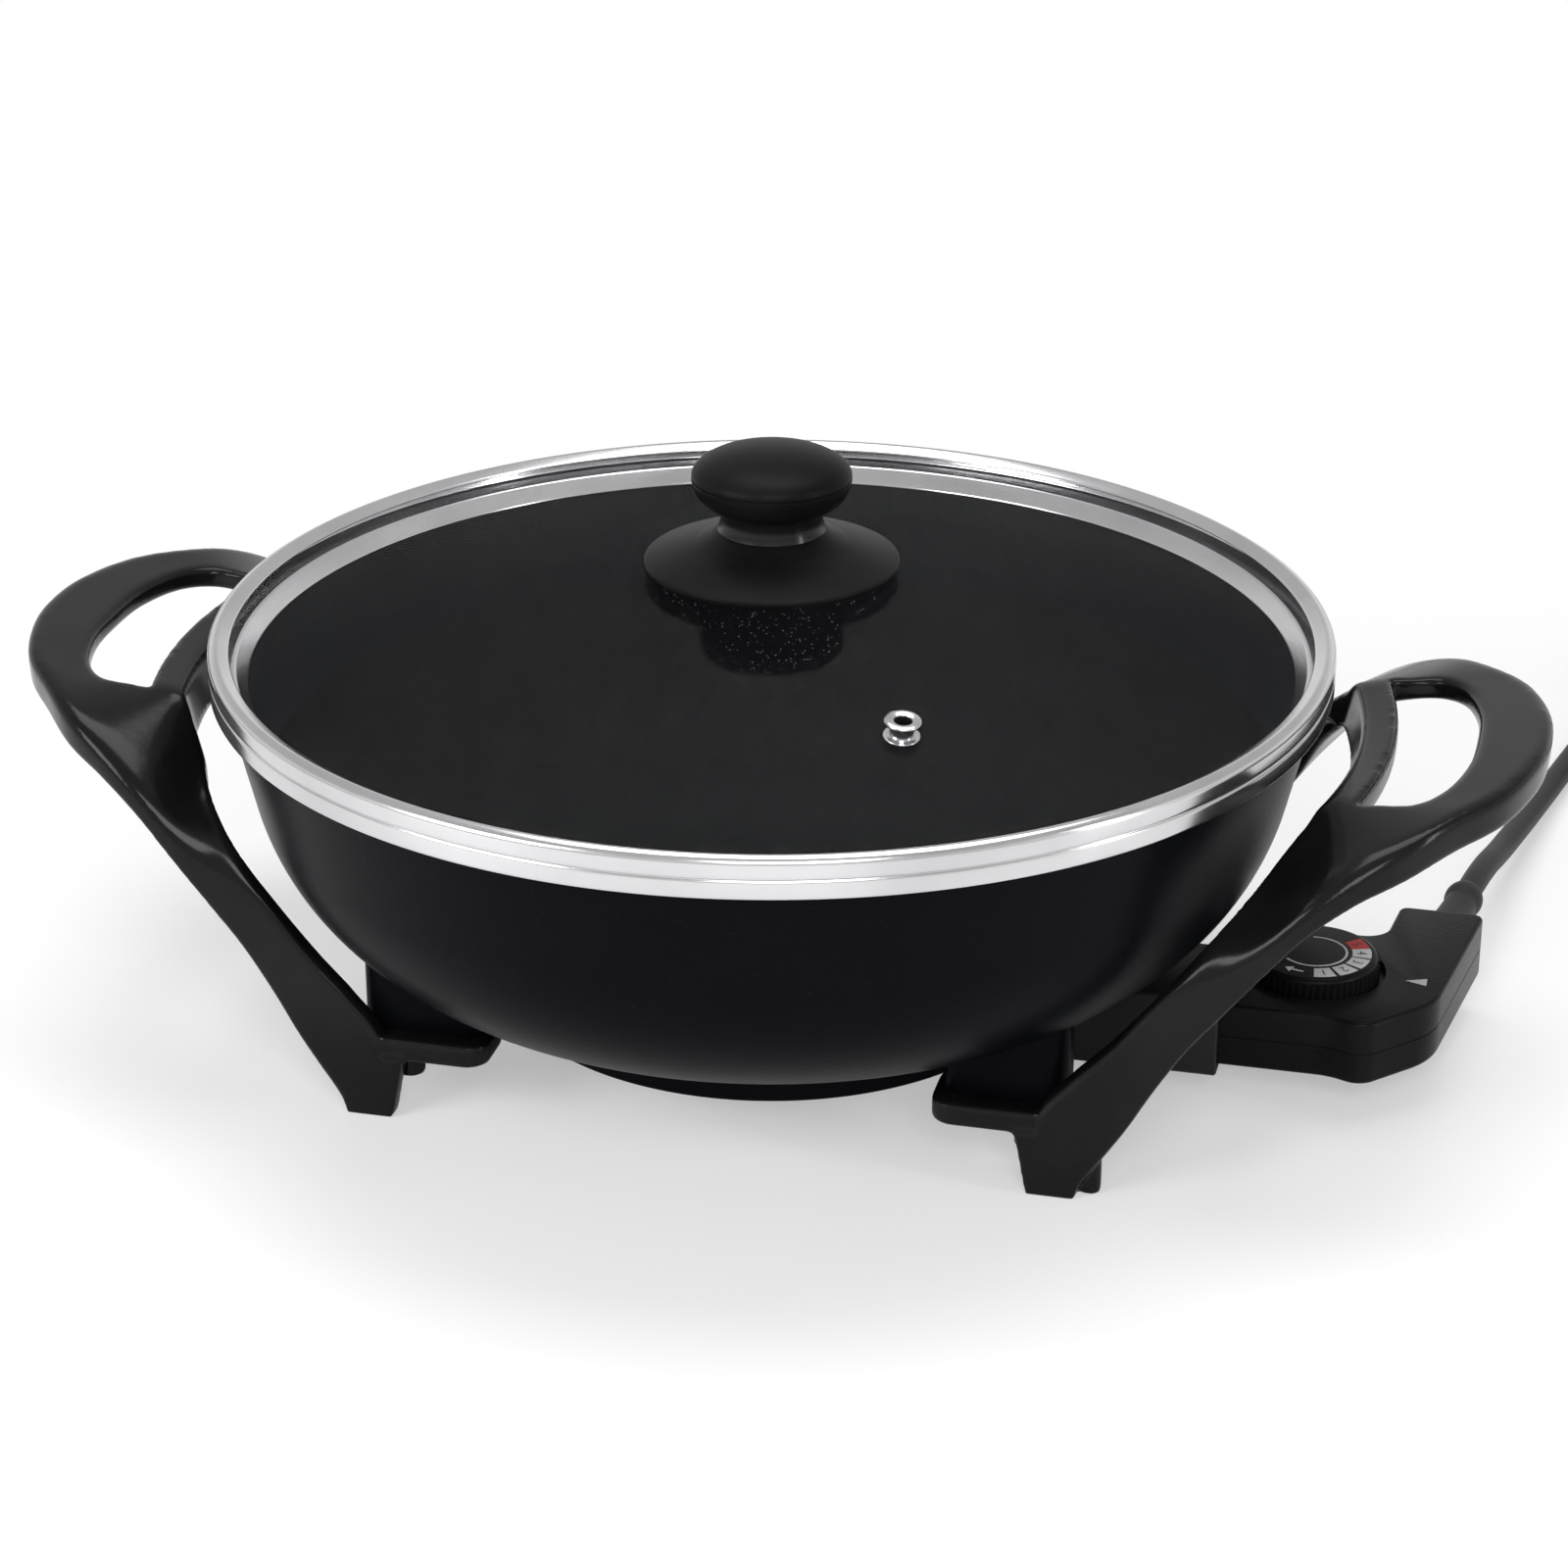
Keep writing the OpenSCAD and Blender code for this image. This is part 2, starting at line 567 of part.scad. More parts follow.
module handle_screws() {
    head_z = screw_low_z + 0.3;
    color(steel) four_corners() translate([screw_x, lug_y, head_z]) {
        cylinder(r = screw_head_r, h = screw_head_h, $fn = fn_small);
        cylinder(r = screw_r, h = shelf_z + screw_in_lug - head_z, $fn = fn_small);
    }
}

// Lid: the band's web rests on the rim and carries the glass under the folded lip
web_z = rim_z + seat_gap;
band_r = rim_r + band_play + band_t;
band_low_z = web_z + band_t - band_low_h;
band_high_z = web_z + band_t + band_high_h;
lip_in_r = band_r - lip_w;
glass_r = band_r - band_t - 3.7;
glass_edge_z = web_z + band_t + seat_gap;
dome_apex_z = glass_edge_z + (dome_r - glass_t) - sqrt(pow(dome_r - glass_t, 2) - pow(glass_r, 2)) + glass_t;
dome_centre_z = dome_apex_z - dome_r;
function dome_z(r) = dome_centre_z + sqrt(dome_r * dome_r - r * r);
vent_hole_r = vent_bore_r + 0.9;
knob_screw_r = 2;
knob_hole_r = 3;
// Stands upright on the dome at the steam vent
module at_vent() {
    vent_lean = asin(vent_from_axis / dome_r);
    translate([0, 0, dome_centre_z]) rotate([0, 0, vent_bearing]) rotate([0, vent_lean, 0])
        translate([0, 0, dome_r]) children();
}

module lid_glass() {
    color(glass_tint) difference() {
        translate([0, 0, dome_centre_z]) difference() {
            intersection() {
                sphere(r = dome_r, $fn = fn_large);
                translate([0, 0, dome_r * 0.9]) cylinder(r = glass_r, h = dome_r * 0.2, $fn = fn_large);
            }
            sphere(r = dome_r - glass_t, $fn = fn_large);
        }
        translate([0, 0, dome_apex_z - 2 * glass_t])
            cylinder(r = knob_hole_r, h = 3 * glass_t, $fn = fn_small);
        at_vent() translate([0, 0, -2 * glass_t])
            cylinder(r = vent_hole_r + fit_gap, h = 3 * glass_t, $fn = fn_small);
    }
}

// One rolled section: outer wall with its bead line, lip, web and inner skirt
module lid_band() {
    bead = 0.5;
    wall_in_r = band_r - band_t;
    web_top_z = web_z + band_t;
    skirt_r = wall_r(rim_z, pan_t) - skirt_gap;
    lip_in_z = dome_z(lip_in_r) + seat_gap;
    lip_drop = lip_in_z + band_t - band_high_z;
    crest_r = band_r - 0.4 * lip_w;
    crest_z = band_high_z + max(lip_drop, 0) + 1.1;
    section = [[wall_in_r, band_low_z], [band_r, band_low_z], [band_r, web_top_z - bead],
        [band_r - bead, web_top_z], [band_r, web_top_z + bead], [band_r, band_high_z - 1],
        [band_r - 0.7, band_high_z + 0.2], [crest_r, crest_z],
        [lip_in_r, lip_in_z + band_t], [lip_in_r, lip_in_z], [crest_r, crest_z - band_t],
        [wall_in_r - 0.4, band_high_z - 0.6], [wall_in_r, band_high_z - 1.4],
        [wall_in_r, web_top_z], [skirt_r - band_t, web_top_z], [skirt_r - band_t - skirt_in, web_z - skirt_h],
        [skirt_r - skirt_in, web_z - skirt_h], [skirt_r, web_z], [wall_in_r, web_z]];
    color(steel) rotate_extrude($fn = fn_large) polygon(section);
}

// Spool that clamps the edge of the vent hole from both sides
module vent_eyelet() {
    flange_t = 0.8;
    low_gap = 0.5;
    low_z = -glass_t - low_gap - flange_t;
    high_z = low_gap + flange_t;
    color(steel) at_vent() difference() {
        union() {
            translate([0, 0, low_z]) cylinder(r = vent_hole_r, h = high_z - low_z, $fn = fn_small);
            translate([0, 0, low_gap]) cylinder(r = vent_flange_r, h = flange_t, $fn = fn_small);
            translate([0, 0, low_z]) cylinder(r = vent_flange_r, h = flange_t, $fn = fn_small);
        }
        translate([0, 0, low_z - 1]) cylinder(r = vent_bore_r, h = high_z - low_z + 2, $fn = fn_small);
    }
}

// Lid knob, stacked upward from the glass
disc_z = dome_z(disc_r) + fit_gap;
disc_top_z = disc_z + disc_h;
knob_low_z = disc_top_z + neck_h;
knob_seam_z = knob_low_z + knob_low_h;
knob_screw_in = 10;
washer_r = 12;
washer_t = 1.5;
washer_z = dome_apex_z - glass_t - washer_t - seat_gap;

module knob_skirt() {
    waist_r = neck_r + 3;
    section = [[knob_screw_r + fit_gap, dome_apex_z + fit_gap], [disc_r / 2, dome_z(disc_r / 2) + fit_gap],
        [disc_r - 0.6, disc_z], [disc_r, disc_z + 0.6], [disc_r, disc_z + disc_edge - 0.4],
        [disc_r - 0.8, disc_z + disc_edge], [waist_r + 4, disc_z + 0.62 * disc_h],
        [waist_r, disc_z + 0.8 * disc_h], [neck_r, disc_top_z], [knob_screw_r + fit_gap, disc_top_z]];
    color(satin_black) rotate_extrude($fn = fn_large) polygon(section);
}

module knob_body() {
    waist = 0.6;
    section = concat([[0, disc_top_z], [neck_r, disc_top_z], [neck_r - waist, disc_top_z + neck_h / 2]],
        [for (a = [0:15:90]) [neck_r + (knob_r - neck_r) * sin(a), knob_low_z + knob_low_h * (1 - cos(a))]],
        [[0, knob_seam_z]]);
    color(satin_black) difference() {
        rotate_extrude($fn = fn_large) polygon(section);
        translate([0, 0, disc_top_z - 1])
            cylinder(r = knob_screw_r + fit_gap, h = knob_screw_in + 2, $fn = fn_small);
    }
}

module knob_cap() {
    seam = 0.35;
    section = concat([[0, knob_seam_z], [knob_r - seam, knob_seam_z], [knob_r - seam, knob_seam_z + seam]],
        [for (a = [0:10:90]) [knob_r * cos(a), knob_seam_z + 2 * seam + (knob_cap_h - 2 * seam) * sin(a)]]);
    color(satin_black) rotate_extrude($fn = fn_large) polygon(section);
}

module knob_screw() {
    head_r = 4;
    head_h = 2.6;
    color(steel) translate([0, 0, washer_z - head_h]) {
        cylinder(r = head_r, h = head_h, $fn = fn_small);
        cylinder(r = knob_screw_r, h = disc_top_z + knob_screw_in - washer_z + head_h, $fn = fn_small);
    }
}

module knob_washer() {
    color(steel) translate([0, 0, washer_z]) difference() {
        cylinder(r = washer_r, h = washer_t, $fn = fn_small);
        translate([0, 0, -1]) cylinder(r = knob_screw_r + fit_gap, h = washer_t + 2, $fn = fn_small);
    }
}

// Controller case, seen from above: nose in the shroud, body round the dial, tail toward the cord
case_z = plug_z - case_h / 2;
case_top_z = plug_z + case_h / 2;
dial_x = mouth_x + dial_from_mouth;
body_x = mouth_x + 0.7;
body_y = dial_y + 27;
tail_x = dial_x + 48.5;
tail_shoulder_x = tail_x - tail_w - 2.7;
case_corners = [[nose_x, -nose_w / 2, 1.5], [dial_x + 9, -nose_w / 2, 20],
    [dial_x + 19.5, -nose_w / 2 - 4.3, 8],
    [dial_x + 39, 0, 25], [tail_x, tail_l, 3], [tail_x - tail_w, tail_l, 3], [tail_shoulder_x, body_y, 8],
    [body_x, body_y, 6], [body_x, nose_w / 2, 1], [nose_x, nose_w / 2, 1.5]];
well_r = dial_r + 1.8;
well_t = 1.4;
well_z = case_top_z - well_d;
dial_z = well_z + seat_gap;
spindle_r = 3;
spindle_low_z = case_z + case_t + 4.6;
case_screw_r = 1.6;
case_screw_head_r = 3;
case_screw_head_h = 2.2;
case_boss_r = 3.6;
case_screw_places = [[mouth_x + 8, -nose_w / 2 + 6.6], [dial_x + 27, 0], [dial_x + 33, tail_l - 13.5],
    [mouth_x + 7, body_y - 6]];
carrier_l = 14;
carrier_x = nose_x + case_t + fit_gap;

// Strain relief: straight from the middle of the tail's end, leaning a little to the right
relief_from = [tail_x - tail_w / 2 - 0.25, tail_l, plug_z];
relief_way = [5.5, 35.5, 0];
relief_to = relief_from + relief_way;
relief_r = 6.6;
relief_l = norm(relief_way);
module along_relief() {
    translate(relief_from) rotate([0, 0, atan2(relief_way.y, relief_way.x)]) rotate([0, 90, 0]) children();
}

// Slice of the case between two heights, drawn in by d
module case_slice(z0, z1, d) {
    translate([0, 0, z0]) linear_extrude(z1 - z0) polygon(rounded(inset(case_corners, d)));
}
// Holes of the nose and of the tail, which both halves share
module case_openings() {
    both_sides() rod_x([nose_x - 1, pin_y, plug_z], pin_r + 2 * slide_gap, case_t + 2);
    rod_x([nose_x - 1, 0, plug_z], probe_r + fit_gap, case_t + 2);
    along_relief() translate([0, 0, -2 * case_t])
        cylinder(r = relief_r + fit_gap, h = 4 * case_t, $fn = fn_small);
}
module at_case_screws() {
    for (p = case_screw_places) translate([p.x, p.y, 0]) children();
}

module controller_lower_case() {
    color(satin_black) difference() {
        union() {
            difference() {
                case_slice(case_z, plug_z, 0);
                case_slice(case_z + case_t, plug_z + 1, case_t);
            }
            at_case_screws() translate([0, 0, case_z + merge])
                cylinder(r = case_boss_r, h = plug_z - case_z - merge, $fn = fn_small);
        }
        case_openings();
        at_case_screws() translate([0, 0, case_z - 1]) {
            cylinder(r = case_screw_r + 2 * fit_gap, h = case_h, $fn = fn_small);
            cylinder(r = case_screw_head_r + 2 * fit_gap, h = case_screw_head_h + 1.3, $fn = fn_small);
        }
    }
}

module controller_upper_case() {
    color(satin_black) difference() {
        union() {
            difference() {
                case_slice(plug_z, case_top_z, 0);
                case_slice(plug_z - 1, case_top_z - case_t, case_t);
            }
            translate([dial_x, dial_y, well_z - case_t])
                cylinder(r = well_r + well_t, h = case_top_z - well_z + case_t - merge, $fn = fn_small);
            at_case_screws() translate([0, 0, plug_z])
                cylinder(r = case_boss_r, h = case_h / 2 - merge, $fn = fn_small);
        }
        case_openings();
        translate([dial_x, dial_y, 0]) {
            translate([0, 0, well_z]) cylinder(r = well_r, h = case_h, $fn = fn_small);
            translate([0, 0, plug_z]) cylinder(r = spindle_r + run_gap, h = case_h, $fn = fn_small);
        }
        at_case_screws() translate([0, 0, plug_z - 1])
            cylinder(r = case_screw_r + fit_gap, h = 7.5, $fn = fn_small);
    }
}

module contact_carrier() {
    w = nose_w - 2 * case_t - 4 * fit_gap;
    h = case_h - 2 * case_t - 2 * fit_gap;
    color(satin_black) difference() {
        translate([carrier_x, -w / 2, plug_z - h / 2]) cube([carrier_l, w, h]);
        both_sides() rod_x([carrier_x - 1, pin_y, plug_z], contact_r + fit_gap, carrier_l + 2);
        rod_x([carrier_x - 1, 0, plug_z], probe_r + fit_gap, carrier_l + 2);
    }
}

module contact_sleeves() {
    color(brass) both_sides() difference() {
        rod_x([carrier_x, pin_y, plug_z], contact_r, pin_l);
        rod_x([carrier_x - 1, pin_y, plug_z], contact_in_r, pin_l + 2);
    }
}

module probe_rod() {
    color(steel) {
        rod_x([probe_tip_x + probe_r, 0, plug_z], probe_r, carrier_x + carrier_l - probe_tip_x - probe_r);
        translate([probe_tip_x + probe_r, 0, plug_z]) sphere(r = probe_r, $fn = fn_small);
    }
}

// Switch under the spindle: base plate, post and the leaf that the spindle presses
module thermostat() {
    base_w = 26;
    base_h = 2.5;
    leaf_t = 0.6;
    leaf_w = 8;
    post_l = 6;
    floor_z = case_z + case_t;
    leaf_z = spindle_low_z - seat_gap - leaf_t;
    color(ceramic) {
        translate([dial_x - base_w / 2, dial_y - base_w / 2, floor_z]) cube([base_w, base_w, base_h]);
        translate([dial_x - base_w / 2, dial_y - leaf_w / 2, floor_z])
            cube([post_l, leaf_w, leaf_z - floor_z + leaf_t]);
        translate([dial_x - base_w / 2, dial_y - leaf_w / 2, leaf_z]) cube([base_w * 0.8, leaf_w, leaf_t]);
    }
}

// Dial with ribs round its side
module dial() {
    rib = 0.5;
    cap_h = 1.2;
    cap_r = dial_r - 2 * rib;
    outline = [for (i = [0:2 * dial_ribs - 1]) let (a = 180 * i / dial_ribs)
        (dial_r - (i % 2) * rib) * [cos(a), sin(a)]];
    color(satin_black) translate([dial_x, dial_y, dial_z]) {
        linear_extrude(dial_h - cap_h) polygon(outline);
        translate([0, 0, dial_h - cap_h])
            cylinder(r1 = cap_r, r2 = cap_r - 0.5 * cap_h, h = cap_h, $fn = fn_large);
    }
}

module dial_spindle() {
    color(steel) translate([dial_x, dial_y, spindle_low_z])
        cylinder(r = spindle_r, h = dial_z - spindle_low_z, $fn = fn_small);
}

module case_screws() {
    head_z = case_z + 0.2;
    color(steel) at_case_screws() translate([0, 0, head_z]) {
        cylinder(r = case_screw_head_r, h = case_screw_head_h, $fn = fn_small);
        cylinder(r = case_screw_r, h = plug_z + 6 - head_z, $fn = fn_small);
    }
}

// Tapered sleeve with a collar inside the tail and a lip at its end
module strain_relief() {
    collar_r = relief_r + 1;
    end_r = cord_r + 1;
    lip_r = 6.2;
    collar_t = 3;
    collar_z = -case_t - 1.6;
    section = [[0, collar_z - collar_t], [collar_r, collar_z - collar_t], [collar_r, collar_z],
        [relief_r, collar_z],
        [relief_r, 4], [lip_r - 0.8, relief_l - 7],
        [lip_r, relief_l - 6], [lip_r, relief_l - 3], [end_r, relief_l], [0, relief_l]];
    color(satin_black) along_relief() rotate_extrude($fn = fn_small) polygon(section);
}

// Route of the cord's free stretch: out of the strain relief, down to the table, on to the coil
// Each row: steps right and back from the strain relief, share of the plug height, share of the coil's lift
cord_rows = [[0, 0, 1, 0], [1.4, 9, 1, 0], [2.8, 19, 0.9568, 0], [4.4, 31, 0.8595, 0], [6, 43, 0.7189, 0],
    [7.6, 55, 0.5892, 0], [9.4, 67, 0.4919, 0], [11.4, 80, 0.4, 0], [13.6, 94, 0.3081, 0],
    [16, 109, 0.2162, 0], [18.6, 125, 0.1297, 0], [21.4, 141, 0.0649, 0], [24.4, 157, 0.0162, 0],
    [28, 174, 0, 0], [31.8, 191, 0, 0], [35.2, 207, 0, 0.286], [37.4, 219, 0, 0.714], [38, 231, 0, 1]];
cord_lie_z = cord_r + 0.3;
coil_low_z = cord_r + tie_t + seat_gap;
cord_route = [for (r = cord_rows) relief_to
    + [r[0], r[1], cord_lie_z - plug_z + r[2] * (plug_z - cord_lie_z) + r[3] * (coil_low_z - cord_lie_z)]];
route_last = len(cord_route) - 1;
cord_sides = 10;
coil_sides = 6;
// Ring of a round tube about point p, square to direction d
function tube_ring(p, d, r, n) =
    let (t = unit(d))
    let (side = unit(cross(t, [0, 0, 1])))
    let (low = cross(t, side))
    [for (j = [0:n - 1]) p + r * (side * cos(360 * j / n) + low * sin(360 * j / n))];
function route_way(i) =
    i == 0 ? relief_way : i == route_last ? [0, 1, 0] : cord_route[i + 1] - cord_route[i - 1];

module cord_free() {
    color(gloss_black)
        skin([for (i = [0:route_last]) tube_ring(cord_route[i], route_way(i), cord_r, cord_sides)]);
}

// Coil: spirals in on the lower layer, climbs in the middle half turn and spirals out on the upper layer
coil_lead = 2 * cord_r;
coil_start = cord_route[route_last];
coil_centre = [coil_start.x + coil_r, coil_start.y + coil_lead];
layer_step = 2 * cord_r + 0.5;
turn_rings = 24;
ring_count = coil_turns * turn_rings;
function ease(t) = let (k = max(0, min(1, t))) k * k * (3 - 2 * k);
function coil_radius(u) = coil_r - coil_step * (coil_turns / 2 - abs(u - coil_turns / 2));
function coil_z(u) = coil_low_z + layer_step * ease(2 * (u - coil_turns / 2) + 0.5);
function coil_point(u) =
    let (a = 180 - 360 * u)
    [coil_centre.x + coil_radius(u) * cos(a), coil_centre.y + coil_radius(u) * sin(a), coil_z(u)];
coil_turned = [for (i = [0:ring_count]) coil_point(i / turn_rings)];
coil_end = coil_turned[ring_count];
plug_start = coil_end - [0, coil_lead, 0];
coil_points = concat([coil_start], coil_turned, [plug_start]);
coil_gap = min([for (i = [0:ring_count]) for (j = [i + turn_rings / 2:1:ring_count])
    norm(coil_turned[i] - coil_turned[j])]) - 2 * cord_r;
echo(least_gap_between_turns = coil_gap);

coil_last = len(coil_points) - 1;
function coil_way(i) =
    i <= 1 ? [0, 1, 0] : i >= coil_last - 1 ? [0, -1, 0] : coil_points[i + 1] - coil_points[i - 1];

module cord_coil() {
    color(gloss_black)
        skin([for (i = [0:coil_last]) tube_ring(coil_points[i], coil_way(i), cord_r, coil_sides)]);
}

// Band round the two stacked turns at the front of the coil
module cord_tie() {
    room = cord_r + seat_gap + 0.6;
    low_z = coil_low_z - cord_r - seat_gap;
    high_z = coil_low_z + layer_step + cord_r + seat_gap;
    tie_y = coil_centre.y - coil_radius(0.75);
    color(satin_black) difference() {
        translate([coil_centre.x - tie_w / 2, tie_y - room - tie_t, low_z - tie_t])
            cube([tie_w, 2 * (room + tie_t), high_z - low_z + 2 * tie_t]);
        translate([coil_centre.x - tie_w, tie_y - room, low_z]) cube([2 * tie_w, 2 * room, high_z - low_z]);
    }
}

// Two-blade plug on its edge beside the coil
plug_neck_l = 34;
plug_l = 36;
plug_w = 22;
plug_body_h = 2 * plug_start.z - 0.2;
module along_plug() {
    translate(plug_start) rotate([90, 0, 0]) children();
}

module plug_body() {
    color(satin_black) along_plug() {
        cylinder(r1 = cord_r + 0.6, r2 = cord_r + 2.8, h = plug_neck_l + 1, $fn = fn_small);
        translate([0, 0, plug_neck_l]) linear_extrude(plug_l)
            polygon(rounded(box_corners(plug_w, plug_body_h, 4)));
    }
}

module plug_blades() {
    blade = [6.3, 1.5, 17.5];
    blade_apart = 12.7;
    color(brass) along_plug() for (s = [-1, 1])
        translate([-blade.x / 2, s * blade_apart / 2 - blade.y / 2, plug_neck_l + plug_l]) cube(blade);
}

pan_bowl();
heating_element();
terminal_pins();
pin_insulators();
terminal_shroud();
shroud_screws();
handle_right();
handle_left();
handle_screws();
lid_glass();
lid_band();
vent_eyelet();
knob_skirt();
knob_body();
knob_cap();
knob_screw();
knob_washer();
controller_lower_case();
controller_upper_case();
contact_carrier();
contact_sleeves();
probe_rod();
thermostat();
dial();
dial_spindle();
case_screws();
strain_relief();
cord_free();
cord_coil();
cord_tie();
plug_body();
plug_blades();
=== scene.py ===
import math

import bmesh
import bpy
from mathutils import Matrix, Vector


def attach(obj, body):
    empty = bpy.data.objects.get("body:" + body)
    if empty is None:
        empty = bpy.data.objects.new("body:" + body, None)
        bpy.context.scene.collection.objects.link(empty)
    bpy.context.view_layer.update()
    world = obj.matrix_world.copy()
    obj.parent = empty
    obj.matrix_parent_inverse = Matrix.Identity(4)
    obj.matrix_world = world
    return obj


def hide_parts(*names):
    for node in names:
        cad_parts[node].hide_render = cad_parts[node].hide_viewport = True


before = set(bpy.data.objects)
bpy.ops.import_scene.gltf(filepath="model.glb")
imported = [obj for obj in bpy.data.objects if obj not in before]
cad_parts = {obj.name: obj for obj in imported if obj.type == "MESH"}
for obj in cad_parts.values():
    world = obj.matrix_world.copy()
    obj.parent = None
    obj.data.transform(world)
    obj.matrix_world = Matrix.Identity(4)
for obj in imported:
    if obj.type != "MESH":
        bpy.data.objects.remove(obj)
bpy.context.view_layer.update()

# Camera: a catalogue view from the front, a little to the right of the handle axis and above the rim,
# through a short telephoto lens. The picture is 1600 pixels square.
PICTURE = 1600
MM = 0.001
camera_turn = math.radians(13.74)
camera_rise = math.radians(24.17)
camera_distance = 1.237
camera_target = Vector((0, 0, 0.08))
target_left_of_centre = 12.5
target_below_centre = 10.9
camera_back = Vector((
    math.sin(camera_turn) * math.cos(camera_rise),
    -math.cos(camera_turn) * math.cos(camera_rise),
    math.sin(camera_rise)))


def standing(name, data):
    """An object in the scene that shows this data."""
    made = bpy.data.objects.new(name, data)
    bpy.context.collection.objects.link(made)
    return made


camera_lens = bpy.data.cameras.new("camera")
camera_lens.sensor_width = 36
camera_lens.lens = 91.9
camera_lens.shift_x = target_left_of_centre / PICTURE
camera_lens.shift_y = target_below_centre / PICTURE
camera = standing("camera", camera_lens)
camera.location = camera_target + camera_back * camera_distance
camera.rotation_euler = camera_back.to_track_quat("Z", "Y").to_euler()
bpy.context.scene.camera = camera


# Mains cord: a round lead with a matt black rubber sheath. It leaves the controller's strain relief, drops
# to the table and runs off to the right, where the rest of its length lies in a tied coil.
class Wire:
    """A shader socket, so that what happens on a surface is written as sums and products."""

    def __init__(self, tree, socket):
        self.tree = tree
        self.socket = socket

    def node(self, kind, settings, sockets, output=0):
        """Adds a node: its settings first, then the values or links of its sockets."""
        made = self.tree.nodes.new(kind)
        for name, value in settings.items():
            setattr(made, name, value)
        for name, value in sockets.items():
            if isinstance(value, Wire):
                self.tree.links.new(value.socket, made.inputs[name])
            else:
                made.inputs[name].default_value = value
        return Wire(self.tree, made.outputs[output])

    def maths(self, operation, *terms):
        return self.node("ShaderNodeMath", {"operation": operation}, dict(enumerate(terms)))

    def __add__(self, other):
        return self.maths("ADD", self, other)

    def __mul__(self, other):
        return self.maths("MULTIPLY", self, other)

    def __sub__(self, other):
        return self.maths("SUBTRACT", self, other)

    def __rsub__(self, other):
        return self.maths("SUBTRACT", other, self)

    __radd__ = __add__
    __rmul__ = __mul__

    def part(self, axis):
        return self.node("ShaderNodeSeparateXYZ", {}, {0: self}, axis)

    def noise(self, scale, detail=2.0):
        return self.node("ShaderNodeTexNoise", {}, {"Vector": self, "Scale": scale, "Detail": detail})

    def between(self, low, high):
        """0 below low, 1 above high, and a smooth rise from one to the other."""
        return self.node("ShaderNodeMapRange", {"interpolation_type": "SMOOTHSTEP"},
                         {"Value": self, "From Min": low, "From Max": high})

    def mix(self, first, second):
        """A colour that goes from the first to the second as this value goes from 0 to 1."""
        return self.node("ShaderNodeMix", {"data_type": "RGBA"}, {0: self, 6: first, 7: second}, 2)

    def length(self):
        return self.node("ShaderNodeVectorMath", {"operation": "LENGTH"}, {0: self}, "Value")

    def ray(self, kind):
        """1 for rays of a kind, such as Camera, and 0 for all others."""
        return self.node("ShaderNodeLightPath", {}, {}, f"Is {kind} Ray")

    def blend(self, share):
        """Shows this shader in place of a share of the material's own."""
        own = Wire(self.tree, self.tree.nodes["Principled BSDF"].outputs[0])
        both = self.node("ShaderNodeMixShader", {}, {0: share, 1: own, 2: self})
        self.tree.links.new(both.socket, self.tree.nodes["Material Output"].inputs[0])

    def bump(self, depth):
        return self.node("ShaderNodeBump", {}, {"Height": self, "Distance": depth})

    def feed(self, name):
        self.tree.links.new(self.socket, self.tree.nodes["Principled BSDF"].inputs[name])


def new_finish(name, constants):
    """A material with these values on its shader, and the Object coordinates as a Wire."""
    material = bpy.data.materials.new(name)
    material.use_nodes = True
    tree = material.node_tree
    for socket, value in constants.items():
        tree.nodes["Principled BSDF"].inputs[socket].default_value = value
    place = tree.nodes.new("ShaderNodeTexCoord").outputs["Object"]
    return material, Wire(tree, place)


def moulded(name, colour, roughness, grain_scale, grain_depth, specular=0.35):
    """Moulded plastic or rubber: a fine grain, and a sheen that wanders a little over the surface."""
    material, place = new_finish(name, {"Specular IOR Level": specular})
    patches = place.noise(35.0, 4.0)
    grain = place.noise(grain_scale, 3.0)
    lighter = tuple(1.35 * c + 0.002 for c in colour) + (1,)
    patches.between(0.35, 0.75).mix(colour + (1,), lighter).feed("Base Color")
    (roughness * 0.85 + patches * (roughness * 0.2) + grain * (roughness * 0.1)).feed("Roughness")
    grain.bump(grain_depth).feed("Normal")
    return material


def put(name, mesh, finishes, body, slot, *nodes):
    """Makes a finished mesh a piece that rides on a body, in place of any CAD nodes that are named."""
    made = standing(name, mesh)
    for material in finishes:
        made.data.materials.append(material)
    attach(made, body)
    if nodes:
        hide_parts(*nodes)
    return made


def spread(full, steps):
    """Values in equal steps from 0 to the full one."""
    return [full * i / steps for i in range(steps + 1)]


def polar(radius, angle):
    return radius * math.cos(angle), radius * math.sin(angle)


def smooth_line(points, steps):
    """Points on a smooth curve through the given ones, with so many steps from one to the next."""
    line = []
    last = len(points) - 1
    for i in range(last):
        a, b = points[max(i - 1, 0)], points[i]
        c, d = points[i + 1], points[min(i + 2, last)]
        for t in spread(1, steps)[:-1]:
            line.append(0.5 * (2 * b + (c - a) * t + (2 * a - 5 * b + 4 * c - d) * t * t
                               + (3 * b - a - 3 * c + d) * t ** 3))
    return line + [points[last]]


